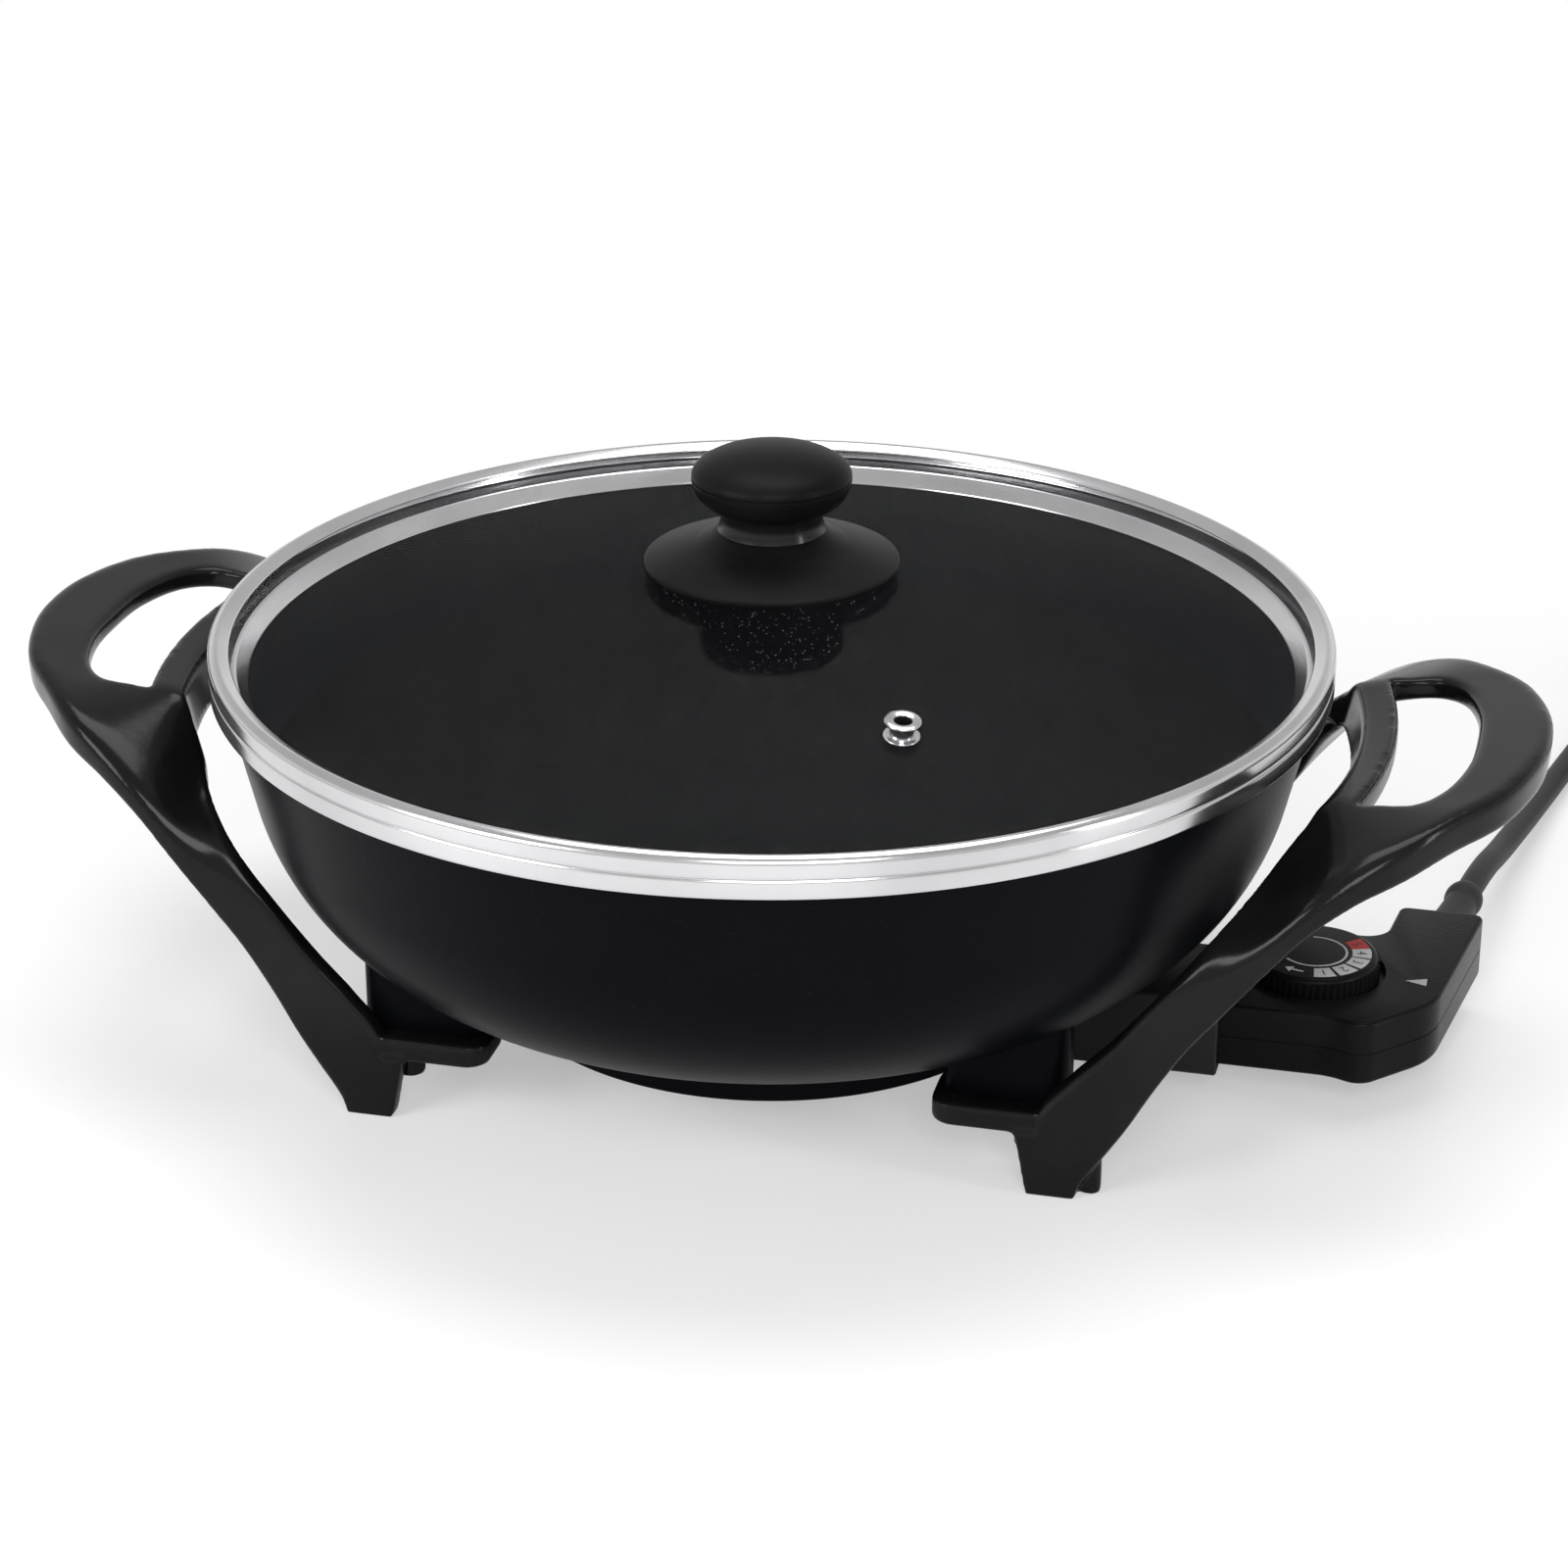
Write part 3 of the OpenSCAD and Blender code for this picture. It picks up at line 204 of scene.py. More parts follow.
cord_r = 4.2
cord_route = [Vector(p) for p in (
    (208.5, 101, 22.5), (209.9, 110, 22.5), (211.3, 120, 21.7), (212.9, 132, 20), (214.5, 144, 17.4),
    (216.1, 156, 15.1), (217.9, 168, 13.4), (219.9, 181, 11.7), (222.1, 195, 10), (224.5, 210, 8.4),
    (227.1, 226, 6.8), (229.9, 242, 5.7), (232.9, 258, 4.8), (236.5, 275, 4.5), (240.3, 292, 4.5),
    (243.7, 308, 4.7), (245.9, 320, 5), (246.5, 332, 5.2))]
coil_turns = 2.5
coil_r = 50
coil_step = 9.2
turn_points = 48
layer_step = 2 * cord_r + 0.5
coil_centre = cord_route[-1] + Vector((coil_r, 2 * cord_r, 0))


def coil_point(turn):
    """The coil spirals in, climbs a layer in its middle half turn and spirals out again."""
    from_middle = turn - coil_turns / 2
    radius = coil_r - coil_step * (coil_turns / 2 - abs(from_middle))
    climb = max(0, min(1, 2 * from_middle + 0.5))
    lift = layer_step * climb * climb * (3 - 2 * climb)
    return coil_centre + Vector((*polar(radius, math.pi - math.tau * turn), lift))


coil_points = [coil_point(i / turn_points) for i in range(int(coil_turns * turn_points) + 1)]
plug_start = coil_points[-1] - Vector((0, 2 * cord_r, 0))
cord_line = [p * MM for p in smooth_line(cord_route, 4) + coil_points + [plug_start]]
cord_length = sum((b - a).length for a, b in zip(cord_line, cord_line[1:]))
rubber = moulded("cord_rubber", (0.012, 0.012, 0.013), 0.52, 1400.0, 0.00012, 0.2)
cord_curve = bpy.data.curves.new("cord", "CURVE")
cord_curve.dimensions = "3D"
cord_curve.bevel_depth = cord_r * MM
cord_curve.bevel_resolution = 6
cord_curve.use_fill_caps = True
cord_spline = cord_curve.splines.new("POLY")
cord_spline.points.add(len(cord_line) - 1)
for spline_point, place in zip(cord_spline.points, cord_line):
    spline_point.co = (*place, 1)
cord_spline.use_smooth = True
cord = put("cord", cord_curve, [rubber], "controller", "cord_rubber", "cord_free", "cord_coil")


# Coil tie: a flat black hook-and-loop band round the two stacked turns at the front of the coil. It keeps the
# unused cord together.
SHARP = math.radians(35)


def mesh_of(bm):
    """Turns a bmesh into a mesh with outward faces, smooth except at its sharper edges."""
    bmesh.ops.recalc_face_normals(bm, faces=bm.faces)
    for face in bm.faces:
        face.smooth = True
    mesh = bpy.data.meshes.new("made")
    bm.to_mesh(mesh)
    bm.free()
    mesh.set_sharp_from_angle(angle=SHARP)
    return mesh


def skin(bm, rows, closed):
    """Faces from each row of vertices to the next and, if closed, from the last row to the first."""
    count = len(rows[0])
    pairs = list(zip(rows, rows[1:])) + ([(rows[-1], rows[0])] if closed else [])
    for low, high in pairs:
        for j in range(count):
            k = (j + 1) % count
            corners = list(dict.fromkeys((low[j], low[k], high[k], high[j])))
            if len(corners) > 2:
                bm.faces.new(corners)


def loft(rings, closed=False):
    """Skin over rings of points in millimetres, closed by end faces or, if closed, onto itself."""
    bm = bmesh.new()
    rows = [[bm.verts.new(Vector(p) * MM) for p in ring] for ring in rings]
    skin(bm, rows, closed)
    if not closed:
        bm.faces.new(rows[0])
        bm.faces.new(rows[-1])
    return mesh_of(bm)


def corner_arc(before, corner, after, radius, steps):
    """Points of the arc that rounds one corner of a flat outline."""
    u = (before - corner).normalized()
    v = (after - corner).normalized()
    half = u.angle(v) / 2
    if radius <= 0 or abs(half - math.pi / 2) < 0.01:
        return [corner]
    centre = corner + (u + v).normalized() * radius / math.sin(half)
    start = corner + u * radius / math.tan(half) - centre
    end = corner + v * radius / math.tan(half) - centre
    a = math.atan2(start.y, start.x)
    turn = (math.atan2(end.y, end.x) - a + math.pi) % math.tau - math.pi
    return [centre + radius * Vector(polar(1, a + t)) for t in spread(turn, steps)]


def rounded(corners, steps=8):
    """Outline through corners (x, y, radius)."""
    flat = [Vector(c[:2]) for c in corners]
    outline = []
    for i, corner in enumerate(corners):
        outline += corner_arc(flat[i - 1], flat[i], flat[(i + 1) % len(flat)], corner[2], steps)
    return outline


def box_corners(width, length, radius):
    """Corners of a rectangle about the origin."""
    w, l = width / 2, length / 2
    return [(-w, -l, radius), (w, -l, radius), (w, l, radius), (-w, l, radius)]


tie_w = 10
tie_t = 0.8
tie_gap = 0.2
tie_room = cord_r + tie_gap + 0.6
tie_height = layer_step + 2 * (cord_r + tie_gap)
tie_corner = 1.2
tie_centre = Vector((coil_centre.x, coil_centre.y - coil_r + 0.75 * coil_step,
                     coil_centre.z + layer_step / 2))


def tie_ring(gap, x):
    corners = box_corners(2 * (tie_room + gap), tie_height + 2 * gap, tie_corner + gap)
    return [tie_centre + Vector((x, p.x, p.y)) for p in rounded(corners)]


tie_edge = 0.2
tie_section = [(0, tie_edge), (tie_edge, 0), (tie_t - tie_edge, 0), (tie_t, tie_edge)]
tie_rings = [tie_ring(gap, inward - tie_w / 2) for gap, inward in tie_section]
tie_rings += [tie_ring(gap, tie_w / 2 - inward) for gap, inward in tie_section[::-1]]
tie_cloth = moulded("tie_cloth", (0.018, 0.018, 0.02), 0.85, 900.0, 0.0006, 0.1)
tie = put("coil_tie", loft(tie_rings, closed=True), [tie_cloth], "controller", "case_plastic", "cord_tie")

# Plug: black moulded body with a grip waist and a ribbed neck over the cord, lying on its edge beside the
# coil, with two folded brass blades in its face.
plug_neck_l = 34
plug_l = 36
plug_w = 22
plug_h = 2 * plug_start.z - 0.2
plug_waist = 2.2
plug_edge = 1.5
plug_corner = 4.5
plug_rest_z = 0.1
neck_ribs = 7
neck_wall, neck_taper, neck_groove = 0.6, 2.2, 0.7


def plug_ring(along, width, height, radius):
    """Section of the plug at a distance from the cord's end, square to the cord."""
    return [plug_start + Vector((p.x, -along, p.y)) for p in rounded(box_corners(width, height, radius), 6)]


neck_rings = []
for i, share in enumerate(spread(1, neck_ribs * 4)):
    groove = neck_groove if i % 4 in (2, 3) else 0
    girth = 2 * (cord_r + neck_wall + neck_taper * share - groove)
    neck_rings.append(plug_ring(plug_neck_l * share, girth, girth, 0.499 * girth))
body_stations = [(0, -5.5), (0.03, -2.5), (0.12, 0), (0.3, -0.4), (0.5, -plug_waist), (0.68, -0.5), (0.82, 0),
                 (0.95, 0), (1, -plug_edge)]
body_rings = [plug_ring(plug_neck_l + plug_l * share, plug_w + cut, plug_h + 1.2 * cut, plug_corner)
              for share, cut in body_stations]
body_rings = [[Vector((p.x, p.y, max(p.z, plug_rest_z))) for p in ring] for ring in body_rings]
plug = put("plug", loft(neck_rings + body_rings), [rubber], "controller", "cord_rubber", "plug_body")


def worn_metal(name, colour, roughness, scale):
    """Plain metal with a cloudy sheen and fine marks."""
    material, place = new_finish(name, {"Metallic": 1.0})
    clouds = place.noise(scale, 5.0)
    darker = tuple(0.7 * c for c in colour) + (1,)
    clouds.between(0.3, 0.7).mix(darker, colour + (1,)).feed("Base Color")
    (clouds * 0.25 + (roughness - 0.12)).feed("Roughness")
    place.noise(scale * 12, 2.0).bump(0.00003).feed("Normal")
    return material


def repaint(node, material):
    """Gives a CAD node's own object a finish."""
    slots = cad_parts[node].data.materials
    slots.clear()
    slots.append(material)
    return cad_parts[node]


brass = worn_metal("contact_brass", (0.72, 0.55, 0.28), 0.32, 120.0)
blades = repaint("plug_blades", brass)

# Table and studio: a seamless white sweep under a grey ceiling, lit by two soft boxes in front, a large one
# overhead and a narrow strip at the right.
table_mesh = bpy.data.meshes.new("table")
table_half = 6.0
table_corners = [(x * table_half, y * table_half, 0) for x, y in ((-1, -1), (1, -1), (1, 1), (-1, 1))]
table_mesh.from_pydata(table_corners, [], [(0, 1, 2, 3)])
table = standing("table", table_mesh)
table_paint, table_place = new_finish("table_paint", {"Roughness": 0.5, "Base Color": (0.93, 0.93, 0.93, 1)})
white_from, white_to, near_glow = 0.34, 0.62, 0.4
far_white = table_place.length().between(white_from, white_to)
table_glow = table_place.node("ShaderNodeEmission", {}, {"Strength": 1.0})
table_glow.blend(table_place.ray("Camera") * (near_glow + far_white * (1 - near_glow)))
table_mesh.materials.append(table_paint)

world = bpy.data.worlds.new("studio")
world.use_nodes = True
bpy.context.scene.world = world
background = world.node_tree.nodes["Background"]
sky = Wire(world.node_tree, background.outputs[0])
seen = sky.ray("Camera")
by_glass_or_metal = sky.maths("MINIMUM", sky.ray("Glossy") + sky.ray("Transmission"), 1.0)
height = sky.node("ShaderNodeTexCoord", {}, {}, "Generated").part(2)
ceiling_shade, fill = 0.35, 0.3
room = 1 - ceiling_shade * height.between(0.1, 0.5)
unseen = by_glass_or_metal * room + (1 - by_glass_or_metal) * fill
sky.tree.links.new((seen + (1 - seen) * unseen).socket, background.inputs["Strength"])
background.inputs["Color"].default_value = (1, 1, 1, 1)
bpy.context.scene.view_settings.view_transform = "Standard"


def soft_box(name, place, aim, width, height, watts):
    """Rectangular lamp at a place, turned to face a point."""
    lamp = bpy.data.lights.new(name, "AREA")
    lamp.shape = "RECTANGLE"
    lamp.size = width
    lamp.size_y = height
    lamp.energy = watts
    box = standing(name, lamp)
    box.location = place
    box.rotation_euler = (Vector(place) - Vector(aim)).to_track_quat("Z", "Y").to_euler()


soft_box("box_left", (-1.0, -1.1, 0.75), camera_target, 0.8, 0.6, 14)
soft_box("box_right", (0.45, -1.35, 0.95), camera_target, 0.7, 0.6, 12)
soft_box("box_top", (0, 0.3, 1.8), (0, 0.1, 0), 1.4, 0.9, 20)
soft_box("strip_right", (1.3, -0.3, 0.4), (0.15, 0, 0.08), 0.12, 0.8, 4)


# Bowl: one aluminium casting with a rolled-looking rim, a raised heater land under the floor, and lugs and
# bosses for its screws. Satin blue-black coat outside, the same coat with fine pale specks inside.
def lathe(profile, steps, closed=False):
    """Mesh of a profile of (radius, height) in millimetres, turned round the upright axis."""
    bm = bmesh.new()
    rows = []
    turns = spread(math.tau, steps)[:-1]
    for r, z in profile:
        if r < 1e-6:
            rows.append([bm.verts.new((0, 0, z * MM))] * steps)
        else:
            rows.append([bm.verts.new((*polar(r * MM, a), z * MM)) for a in turns])
    skin(bm, rows, closed)
    return mesh_of(bm)


def bent(before, corner, after, start, end, steps):
    """Points of a soft bend, from one distance before a corner to another after it if there is room."""
    u, v = before - corner, after - corner
    s = corner + u.normalized() * min(start, 0.45 * u.length)
    e = corner + v.normalized() * min(end, 0.45 * v.length)
    return [s * (1 - t) ** 2 + corner * 2 * t * (1 - t) + e * t * t for t in spread(1, steps)]


def softened(points, radius, steps=4, closed=False):
    """The same line of (radius, height) points with its corners rounded."""
    flat = [Vector(p) for p in points]
    count = len(flat)
    line = []
    for i, corner in enumerate(flat):
        if not closed and i in (0, count - 1):
            line.append(corner)
        else:
            line += bent(flat[i - 1], corner, flat[(i + 1) % count], radius, radius, steps)
    return line


def joined(meshes):
    """One mesh from several that touch or overlap."""
    bm = bmesh.new()
    for mesh in meshes:
        bm.from_mesh(mesh)
    mesh = bpy.data.meshes.new("joined")
    bm.to_mesh(mesh)
    bm.free()
    return mesh


def settled(made, *helpers):
    """The mesh of an object with its modifiers applied. The object and its helpers are then removed."""
    graph = bpy.context.evaluated_depsgraph_get()
    result = bpy.data.meshes.new_from_object(made.evaluated_get(graph))
    for spent in (made, *helpers):
        bpy.data.objects.remove(spent)
    return result


def carved(mesh, *tools):
    """The mesh with the shapes of the tools cut out of it."""
    made = standing("carved", mesh)
    cutters = [standing("cutter", tool) for tool in tools]
    for cutter in cutters:
        cut = made.modifiers.new("cut", "BOOLEAN")
        cut.object = cutter
        cut.solver = "EXACT"
    return settled(made, *cutters)


def moved(mesh, matrix):
    mesh.transform(matrix)
    if matrix.determinant() < 0:
        mesh.flip_normals()
    return mesh


def at(x, y, z=0):
    """Shift by millimetres."""
    return Matrix.Translation(Vector((x, y, z)) * MM)


def post(x, y, radius, z0, z1, steps=32):
    """Upright round bar between two heights, in millimetres."""
    return moved(lathe([(0, z0), (radius, z0), (radius, z1), (0, z1)], steps), at(x, y))


def bar_x(start, radius, length):
    """Round bar along +X from a point, in millimetres."""
    return moved(post(0, 0, radius, 0, length, 40), at(*start) @ Matrix.Rotation(math.pi / 2, 4, "Y"))


pan_r = 166
wall_top_z = 126
rim_z = 130
rim_r = 168.4
pan_t = 3.6
bowl_z = 35
bowl_corner_r = 74
wall_lean = math.radians(13)
bowl_curve_z = bowl_z + bowl_corner_r
wall_lead = (wall_top_z - bowl_curve_z) * math.sin(wall_lean)
bowl_curve_r = pan_r - (bowl_corner_r + wall_lead) / math.cos(wall_lean)
land_r = 84.5
land_in_r = 56
land_z = 18
element_ring_r = 70
groove_r = 4.2
plug_z = 22.5
pin_y = 11


def bowl_line(depth, steps=40):
    """Curve from the bowl's floor to its straight wall, at a depth into the casting."""
    sweep = math.pi / 2 - wall_lean
    radius = bowl_corner_r - depth
    return [Vector((bowl_curve_r + radius * math.sin(a), bowl_curve_z - radius * math.cos(a)))
            for a in spread(sweep, steps)]


def wall_r(z, depth):
    return pan_r + (z - wall_top_z) * math.tan(wall_lean) - depth / math.cos(wall_lean)


groove_in, groove_out, groove_top = element_ring_r - groove_r, element_ring_r + groove_r, plug_z + groove_r
bowl_under = softened([
    (0, bowl_z), (land_in_r, bowl_z), (land_in_r, land_z), (groove_in, land_z), (groove_in, groove_top),
    (groove_out, groove_top), (groove_out, land_z), (land_r, land_z), (land_r, bowl_z),
    (bowl_curve_r, bowl_z)], 1.2)
rim_foot_z, rim_in_z = wall_top_z - 4, rim_z - 6
bowl_rim = softened([
    (wall_r(rim_foot_z, 0), rim_foot_z), (pan_r, wall_top_z), (rim_r, wall_top_z + 1.2), (rim_r, rim_z),
    (wall_r(rim_z, pan_t), rim_z), (wall_r(rim_in_z, pan_t), rim_in_z)], 1.0)
bowl_inside = [Vector((0, bowl_z + pan_t))]
bowl_profile = bowl_under + bowl_line(0)[1:] + bowl_rim + bowl_line(pan_t)[::-1] + bowl_inside
probe_hole_x, probe_hole_r, lead_l = 62, 3.9, land_r - element_ring_r + 2
bowl_shell = carved(
    lathe(bowl_profile, 216), bar_x((probe_hole_x, 0, plug_z), probe_hole_r, land_r),
    *(bar_x((element_ring_r, y, plug_z), groove_r, lead_l) for y in (pin_y, -pin_y)))
lug_low, lug_x, lug_y = 26.6, 89.3, 71.95
lug_outline = box_corners(37, 15.5, 5)


def lug_mesh(sx, sy):
    """Lug under one corner of the bowl, whose top follows the casting's middle."""
    rings = []
    centre = Vector((sx * lug_x, sy * lug_y))
    outline = [Vector((sx * lug_x + p.x, sy * lug_y + p.y)) for p in rounded(lug_outline, 6)]
    for share, shrink in ((0, 0.98), (0.03, 1.0), (1, 1.0)):
        ring = []
        for p in outline:
            reach = max(p.length - bowl_curve_r, 0)
            top = bowl_curve_z - math.sqrt((bowl_corner_r - pan_t / 2) ** 2 - reach ** 2)
            q = centre + (p - centre) * shrink
            ring.append((q.x, q.y, lug_low + (top - lug_low) * share))
        rings.append(ring)
    return loft(rings)


lugs = [lug_mesh(sx, sy) for sx in (-1, 1) for sy in (-1, 1)]
boss_x, boss_y, shroud_boss_r, boss_low, boss_top = 106, 12, 5, 35.9, 40
bosses = [post(boss_x, side * boss_y, shroud_boss_r, boss_low, boss_top, 40) for side in (-1, 1)]


def coat(name, ground, speck, share, roughness, sheen):
    """Sprayed non-stick coat: a dark ground, scattered fine specks and a slightly orange-peeled sheen."""
    material, place = new_finish(name, {"Specular IOR Level": sheen})
    specks = place.node("ShaderNodeTexVoronoi", {}, {"Vector": place, "Scale": 950.0})
    dots = (1 - specks.between(0.12, 0.3)) * place.noise(420.0).between(share, share + 0.06)
    clouds = place.noise(18.0, 4.0)
    ground_mixed = clouds.between(0.3, 0.7).mix(ground + (1,), tuple(1.3 * c for c in ground) + (1,))
    dots.mix(ground_mixed, speck + (1,)).feed("Base Color")
    (roughness - 0.05 + clouds * 0.08 + dots * 0.1).feed("Roughness")
    place.noise(650.0, 2.0).bump(0.00005).feed("Normal")
    return material


coat_outside = coat("coat_outside", (0.0018, 0.002, 0.003), (0.007, 0.0075, 0.009), 0.56, 0.32, 0.03)
coat_inside = coat("coat_inside", (0.004, 0.0038, 0.0045), (0.13, 0.13, 0.14), 0.52, 0.45, 0.01)
bowl_mesh = joined([bowl_shell] + lugs + bosses)
put("bowl", bowl_mesh, [coat_outside, coat_inside], "base", "pan_coat", "pan_bowl")
inside_depth = 0.9 * pan_t
for face in bowl_mesh.polygons:
    centre = face.center / MM
    r = math.hypot(centre.x, centre.y)
    on_curve = math.hypot(max(r - bowl_curve_r, 0), min(centre.z - bowl_curve_z, 0))
    if centre.z > bowl_curve_z:
        inside = r < wall_r(centre.z, inside_depth)
    else:
        inside = on_curve < bowl_corner_r - inside_depth
    face.material_index = 1 if inside else 0

# Heating element and its plug pins: a steel-sheathed ring in the land's groove, two straight leads with
# ceramic bushes, and pins inside the terminal shroud.
element_steel = worn_metal("element_steel", (0.36, 0.34, 0.32), 0.45, 60.0)
pin_steel = worn_metal("pin_steel", (0.62, 0.62, 0.63), 0.25, 90.0)
ceramic = moulded("ceramic", (0.72, 0.70, 0.65), 0.6, 800.0, 0.0001)
repaint("heating_element", element_steel)
repaint("terminal_pins", pin_steel)
repaint("pin_insulators", ceramic)

# Terminal shroud: a black moulded sleeve, open at the front, screwed to two bosses under the bowl. The
# controller's nose slides into it.
satin_black = moulded("satin_black", (0.012, 0.012, 0.013), 0.38, 1600.0, 0.00008, 0.2)
shroud_in = Vector((34.2, 21.8))
shroud_t = 2.5
shroud_x0, shroud_x1 = 92, 143.5
shroud_edge = 0.6


def shroud_ring(x, gap, radius):
    corners = box_corners(shroud_in.x + 2 * gap, shroud_in.y + 2 * gap, radius)
    return [(x, p.x, plug_z + p.y) for p in rounded(corners, 5)]


shroud_bevel = shroud_t - shroud_edge
shroud_rings = [shroud_ring(*ring) for ring in (
    (shroud_x0 + 3, 0, 0.8), (shroud_x1, 0, 0.8), (shroud_x1, shroud_bevel, 2.0),
    (shroud_x1 - shroud_edge, shroud_t, 2.6), (shroud_x0 + shroud_edge, shroud_t, 2.6),
    (shroud_x0, shroud_bevel, 2.0))]
bush_hole_r, probe_way_r, back_hole_l = 4.9, 4.3, 6
shroud_mesh = carved(loft(shroud_rings), *(
    bar_x((shroud_x0 - 1, y, plug_z), r, back_hole_l)
    for y, r in ((pin_y, bush_hole_r), (-pin_y, bush_hole_r), (0, probe_way_r))))
put("shroud", shroud_mesh, [satin_black], "base", "case_plastic", "terminal_shroud")
repaint("shroud_screws", pin_steel)

# Handles: one gloss black moulding on each side. The grip loop's outer wall widens downward into the front
# and rear leg plates; a bar beside the bowl closes the finger hole, and shelves carry the bowl's lugs.
grip_out, hole_out, bar_out, bar_gap = 69, 47, 23.5, 13
grip_t, hole_t, hole_half = 12.5, 6.5, 47
grip_drop, grip_slope = 16.6, math.tan(math.radians(9.9))
leg_y, leg_t, foot_x, foot_w = 83.5, 7, 104.8, 15
leg_in, leg_out = leg_y - leg_t / 2, leg_y + leg_t / 2
bar_h = 16


def grip_z(dx):
    return rim_z - grip_drop + grip_slope * dx


def on_grip(in_dx, in_y, out_dx, out_y):
    """Corners of the grip's section: inner top, outer top, outer bottom, inner bottom."""
    a = Vector((pan_r + in_dx, in_y, grip_z(in_dx)))
    b = Vector((pan_r + out_dx, out_y, grip_z(out_dx)))
    return [a, b, b + (a - b).normalized() * 0.8 - Vector((0, 0, grip_t)), a - Vector((0, 0, hole_t))]


def on_ramp(*corners):
    return [Vector((pan_r + dx, y, rim_z + dz)) for dx, y, dz in corners]


def on_leg(in_dx, in_z, out_dx, out_z):
    return [Vector((foot_x + in_dx, leg_in, in_z)), Vector((foot_x + in_dx, leg_out, in_z)),
            Vector((foot_x + out_dx, leg_out, out_z)), Vector((foot_x + out_dx, leg_in, out_z))]


half_strap = [
    on_grip(hole_out, 0, grip_out, 0),
    on_grip(hole_out - 1, 19, grip_out - 2, 20),
    on_grip(hole_out - 6, hole_half - 10, grip_out - 9.5, 42),
    on_grip(hole_out - 14, hole_half - 0.5, grip_out - 22, 59),
    on_ramp((bar_out - 1, hole_half - 0.5, -12), (35, leg_out - 15, -12.2), (34.5, leg_out - 15, -25),
            (bar_out - 1, hole_half + 0.5, -19)),
    on_ramp((bar_gap - 3, hole_half, -13.6), (22.5, leg_out - 7, -18.5), (21.5, leg_out - 7, -30.5),
            (bar_gap - 4, hole_half + 4, -25)),
    on_ramp((bar_gap - 10.5, hole_half + 3.5, -20), (9.5, leg_out - 2, -27.5), (9, leg_out - 2, -39.5),
            (bar_gap - 11.5, hole_half + 13, -36)),
    on_ramp((bar_gap - 17, leg_in - 20, -27.5), (-3, leg_out, -38.5), (-2.5, leg_out, -52.5),
            (bar_gap - 19, leg_in - 9, -48)),
    on_ramp((bar_gap - 24, leg_in - 8, -34.8), (-14, leg_out, -47.5), (-13, leg_out, -65.5),
            (bar_gap - 26, leg_in - 2, -63)),
    on_ramp((bar_gap - 33, leg_in, -45.5), (-24, leg_out, -54.5), (-23, leg_out, -78),
            (-23, leg_in, -77)),
    on_ramp((bar_gap - 44, leg_in, -61.5), (-33.5, leg_out, -63), (-32, leg_out, -92),
            (-32, leg_in, -92)),
    on_leg(16, 51.5, 22, 25),
    on_leg(4.4, 39, 15.7, 15),
    on_leg(-4.8, 26, 11, 8),
    on_leg(-foot_w / 2, 2, foot_w / 2, 2)]
strap = [[Vector((p.x, -p.y, p.z)) for p in s] for s in half_strap[::-1]] + half_strap[1:]
strap_steps = 8
strap_lines = [smooth_line([s[i] for s in strap], strap_steps) for i in range(4)]


def strap_ring(corners, ramp, steps=6):
    """Ring round four corners, each rounded, the outer top one fully so on the ramp between grip and leg."""
    ring = []
    for i in range(4):
        along_top, along_side = (4.5 + 8 * ramp, 3.5 + 4 * ramp) if i == 1 else (2.4, 2.4)
        ring += bent(corners[i - 1], corners[i], corners[(i + 1) % 4], along_top, along_side, steps)
    return ring


ramp_from, ramp_full, ramp_less, ramp_to = 3.5, 6.5, 8.5, 10.5
strap_rings = []
for i, corners in enumerate(zip(*strap_lines)):
    station = abs(i / strap_steps - len(half_strap) + 1)
    rise = (station - ramp_from) / (ramp_full - ramp_from)
    fall = (ramp_to - station) / (ramp_to - ramp_less)
    strap_rings.append(strap_ring(corners, max(0, min(1, rise, fall))))
strap_mesh = loft(strap_rings)
bar_in_r, bar_out_r = pan_r + bar_gap, pan_r + bar_out
bar_lift = 0.6
bar_in_z, bar_out_z = grip_z(bar_gap) + bar_lift, grip_z(bar_out) + bar_lift


def bar_ring(turn, drop, inward, share):
    """Section of the inner bar at a bearing, lowered, moved inward and cut to a share of its depth."""
    low = bar_h * share
    section = softened([
        (bar_in_r, bar_in_z), (bar_out_r, bar_out_z), (bar_out_r, bar_out_z - 0.55 * low),
        (bar_in_r + 2, bar_in_z - low), (bar_in_r - 3.5 * share, bar_in_z - low)], 2.0, 3, closed=True)
    a = math.radians(turn)
    return [(*polar(r - inward, a), z - drop) for r, z in section]


bar_end = [Vector(p) for p in (
    (0, 0, 0, 1), (6, 0, 0, 1), (11, 0, 0, 1), (14.4, 0.2, 0, 1), (15.6, 1.6, 1, 0.9), (16.7, 5.8, 2.6, 0.75),
    (18.5, 10, 4.6, 0.5), (20.3, 14.2, 6.2, 0.35), (22.5, 20, 7, 0.25))]
bar_half = smooth_line(bar_end, 5)
bar_way = [Vector((-p[0], *p[1:])) for p in bar_half[:0:-1]] + bar_half
bar_mesh = loft([bar_ring(*p) for p in bar_way])


def plate(outline, z0, z1):
    """Flat outline raised from one height to another."""
    return loft([[(x, y, z) for x, y in outline] for z in (z0, z1)])


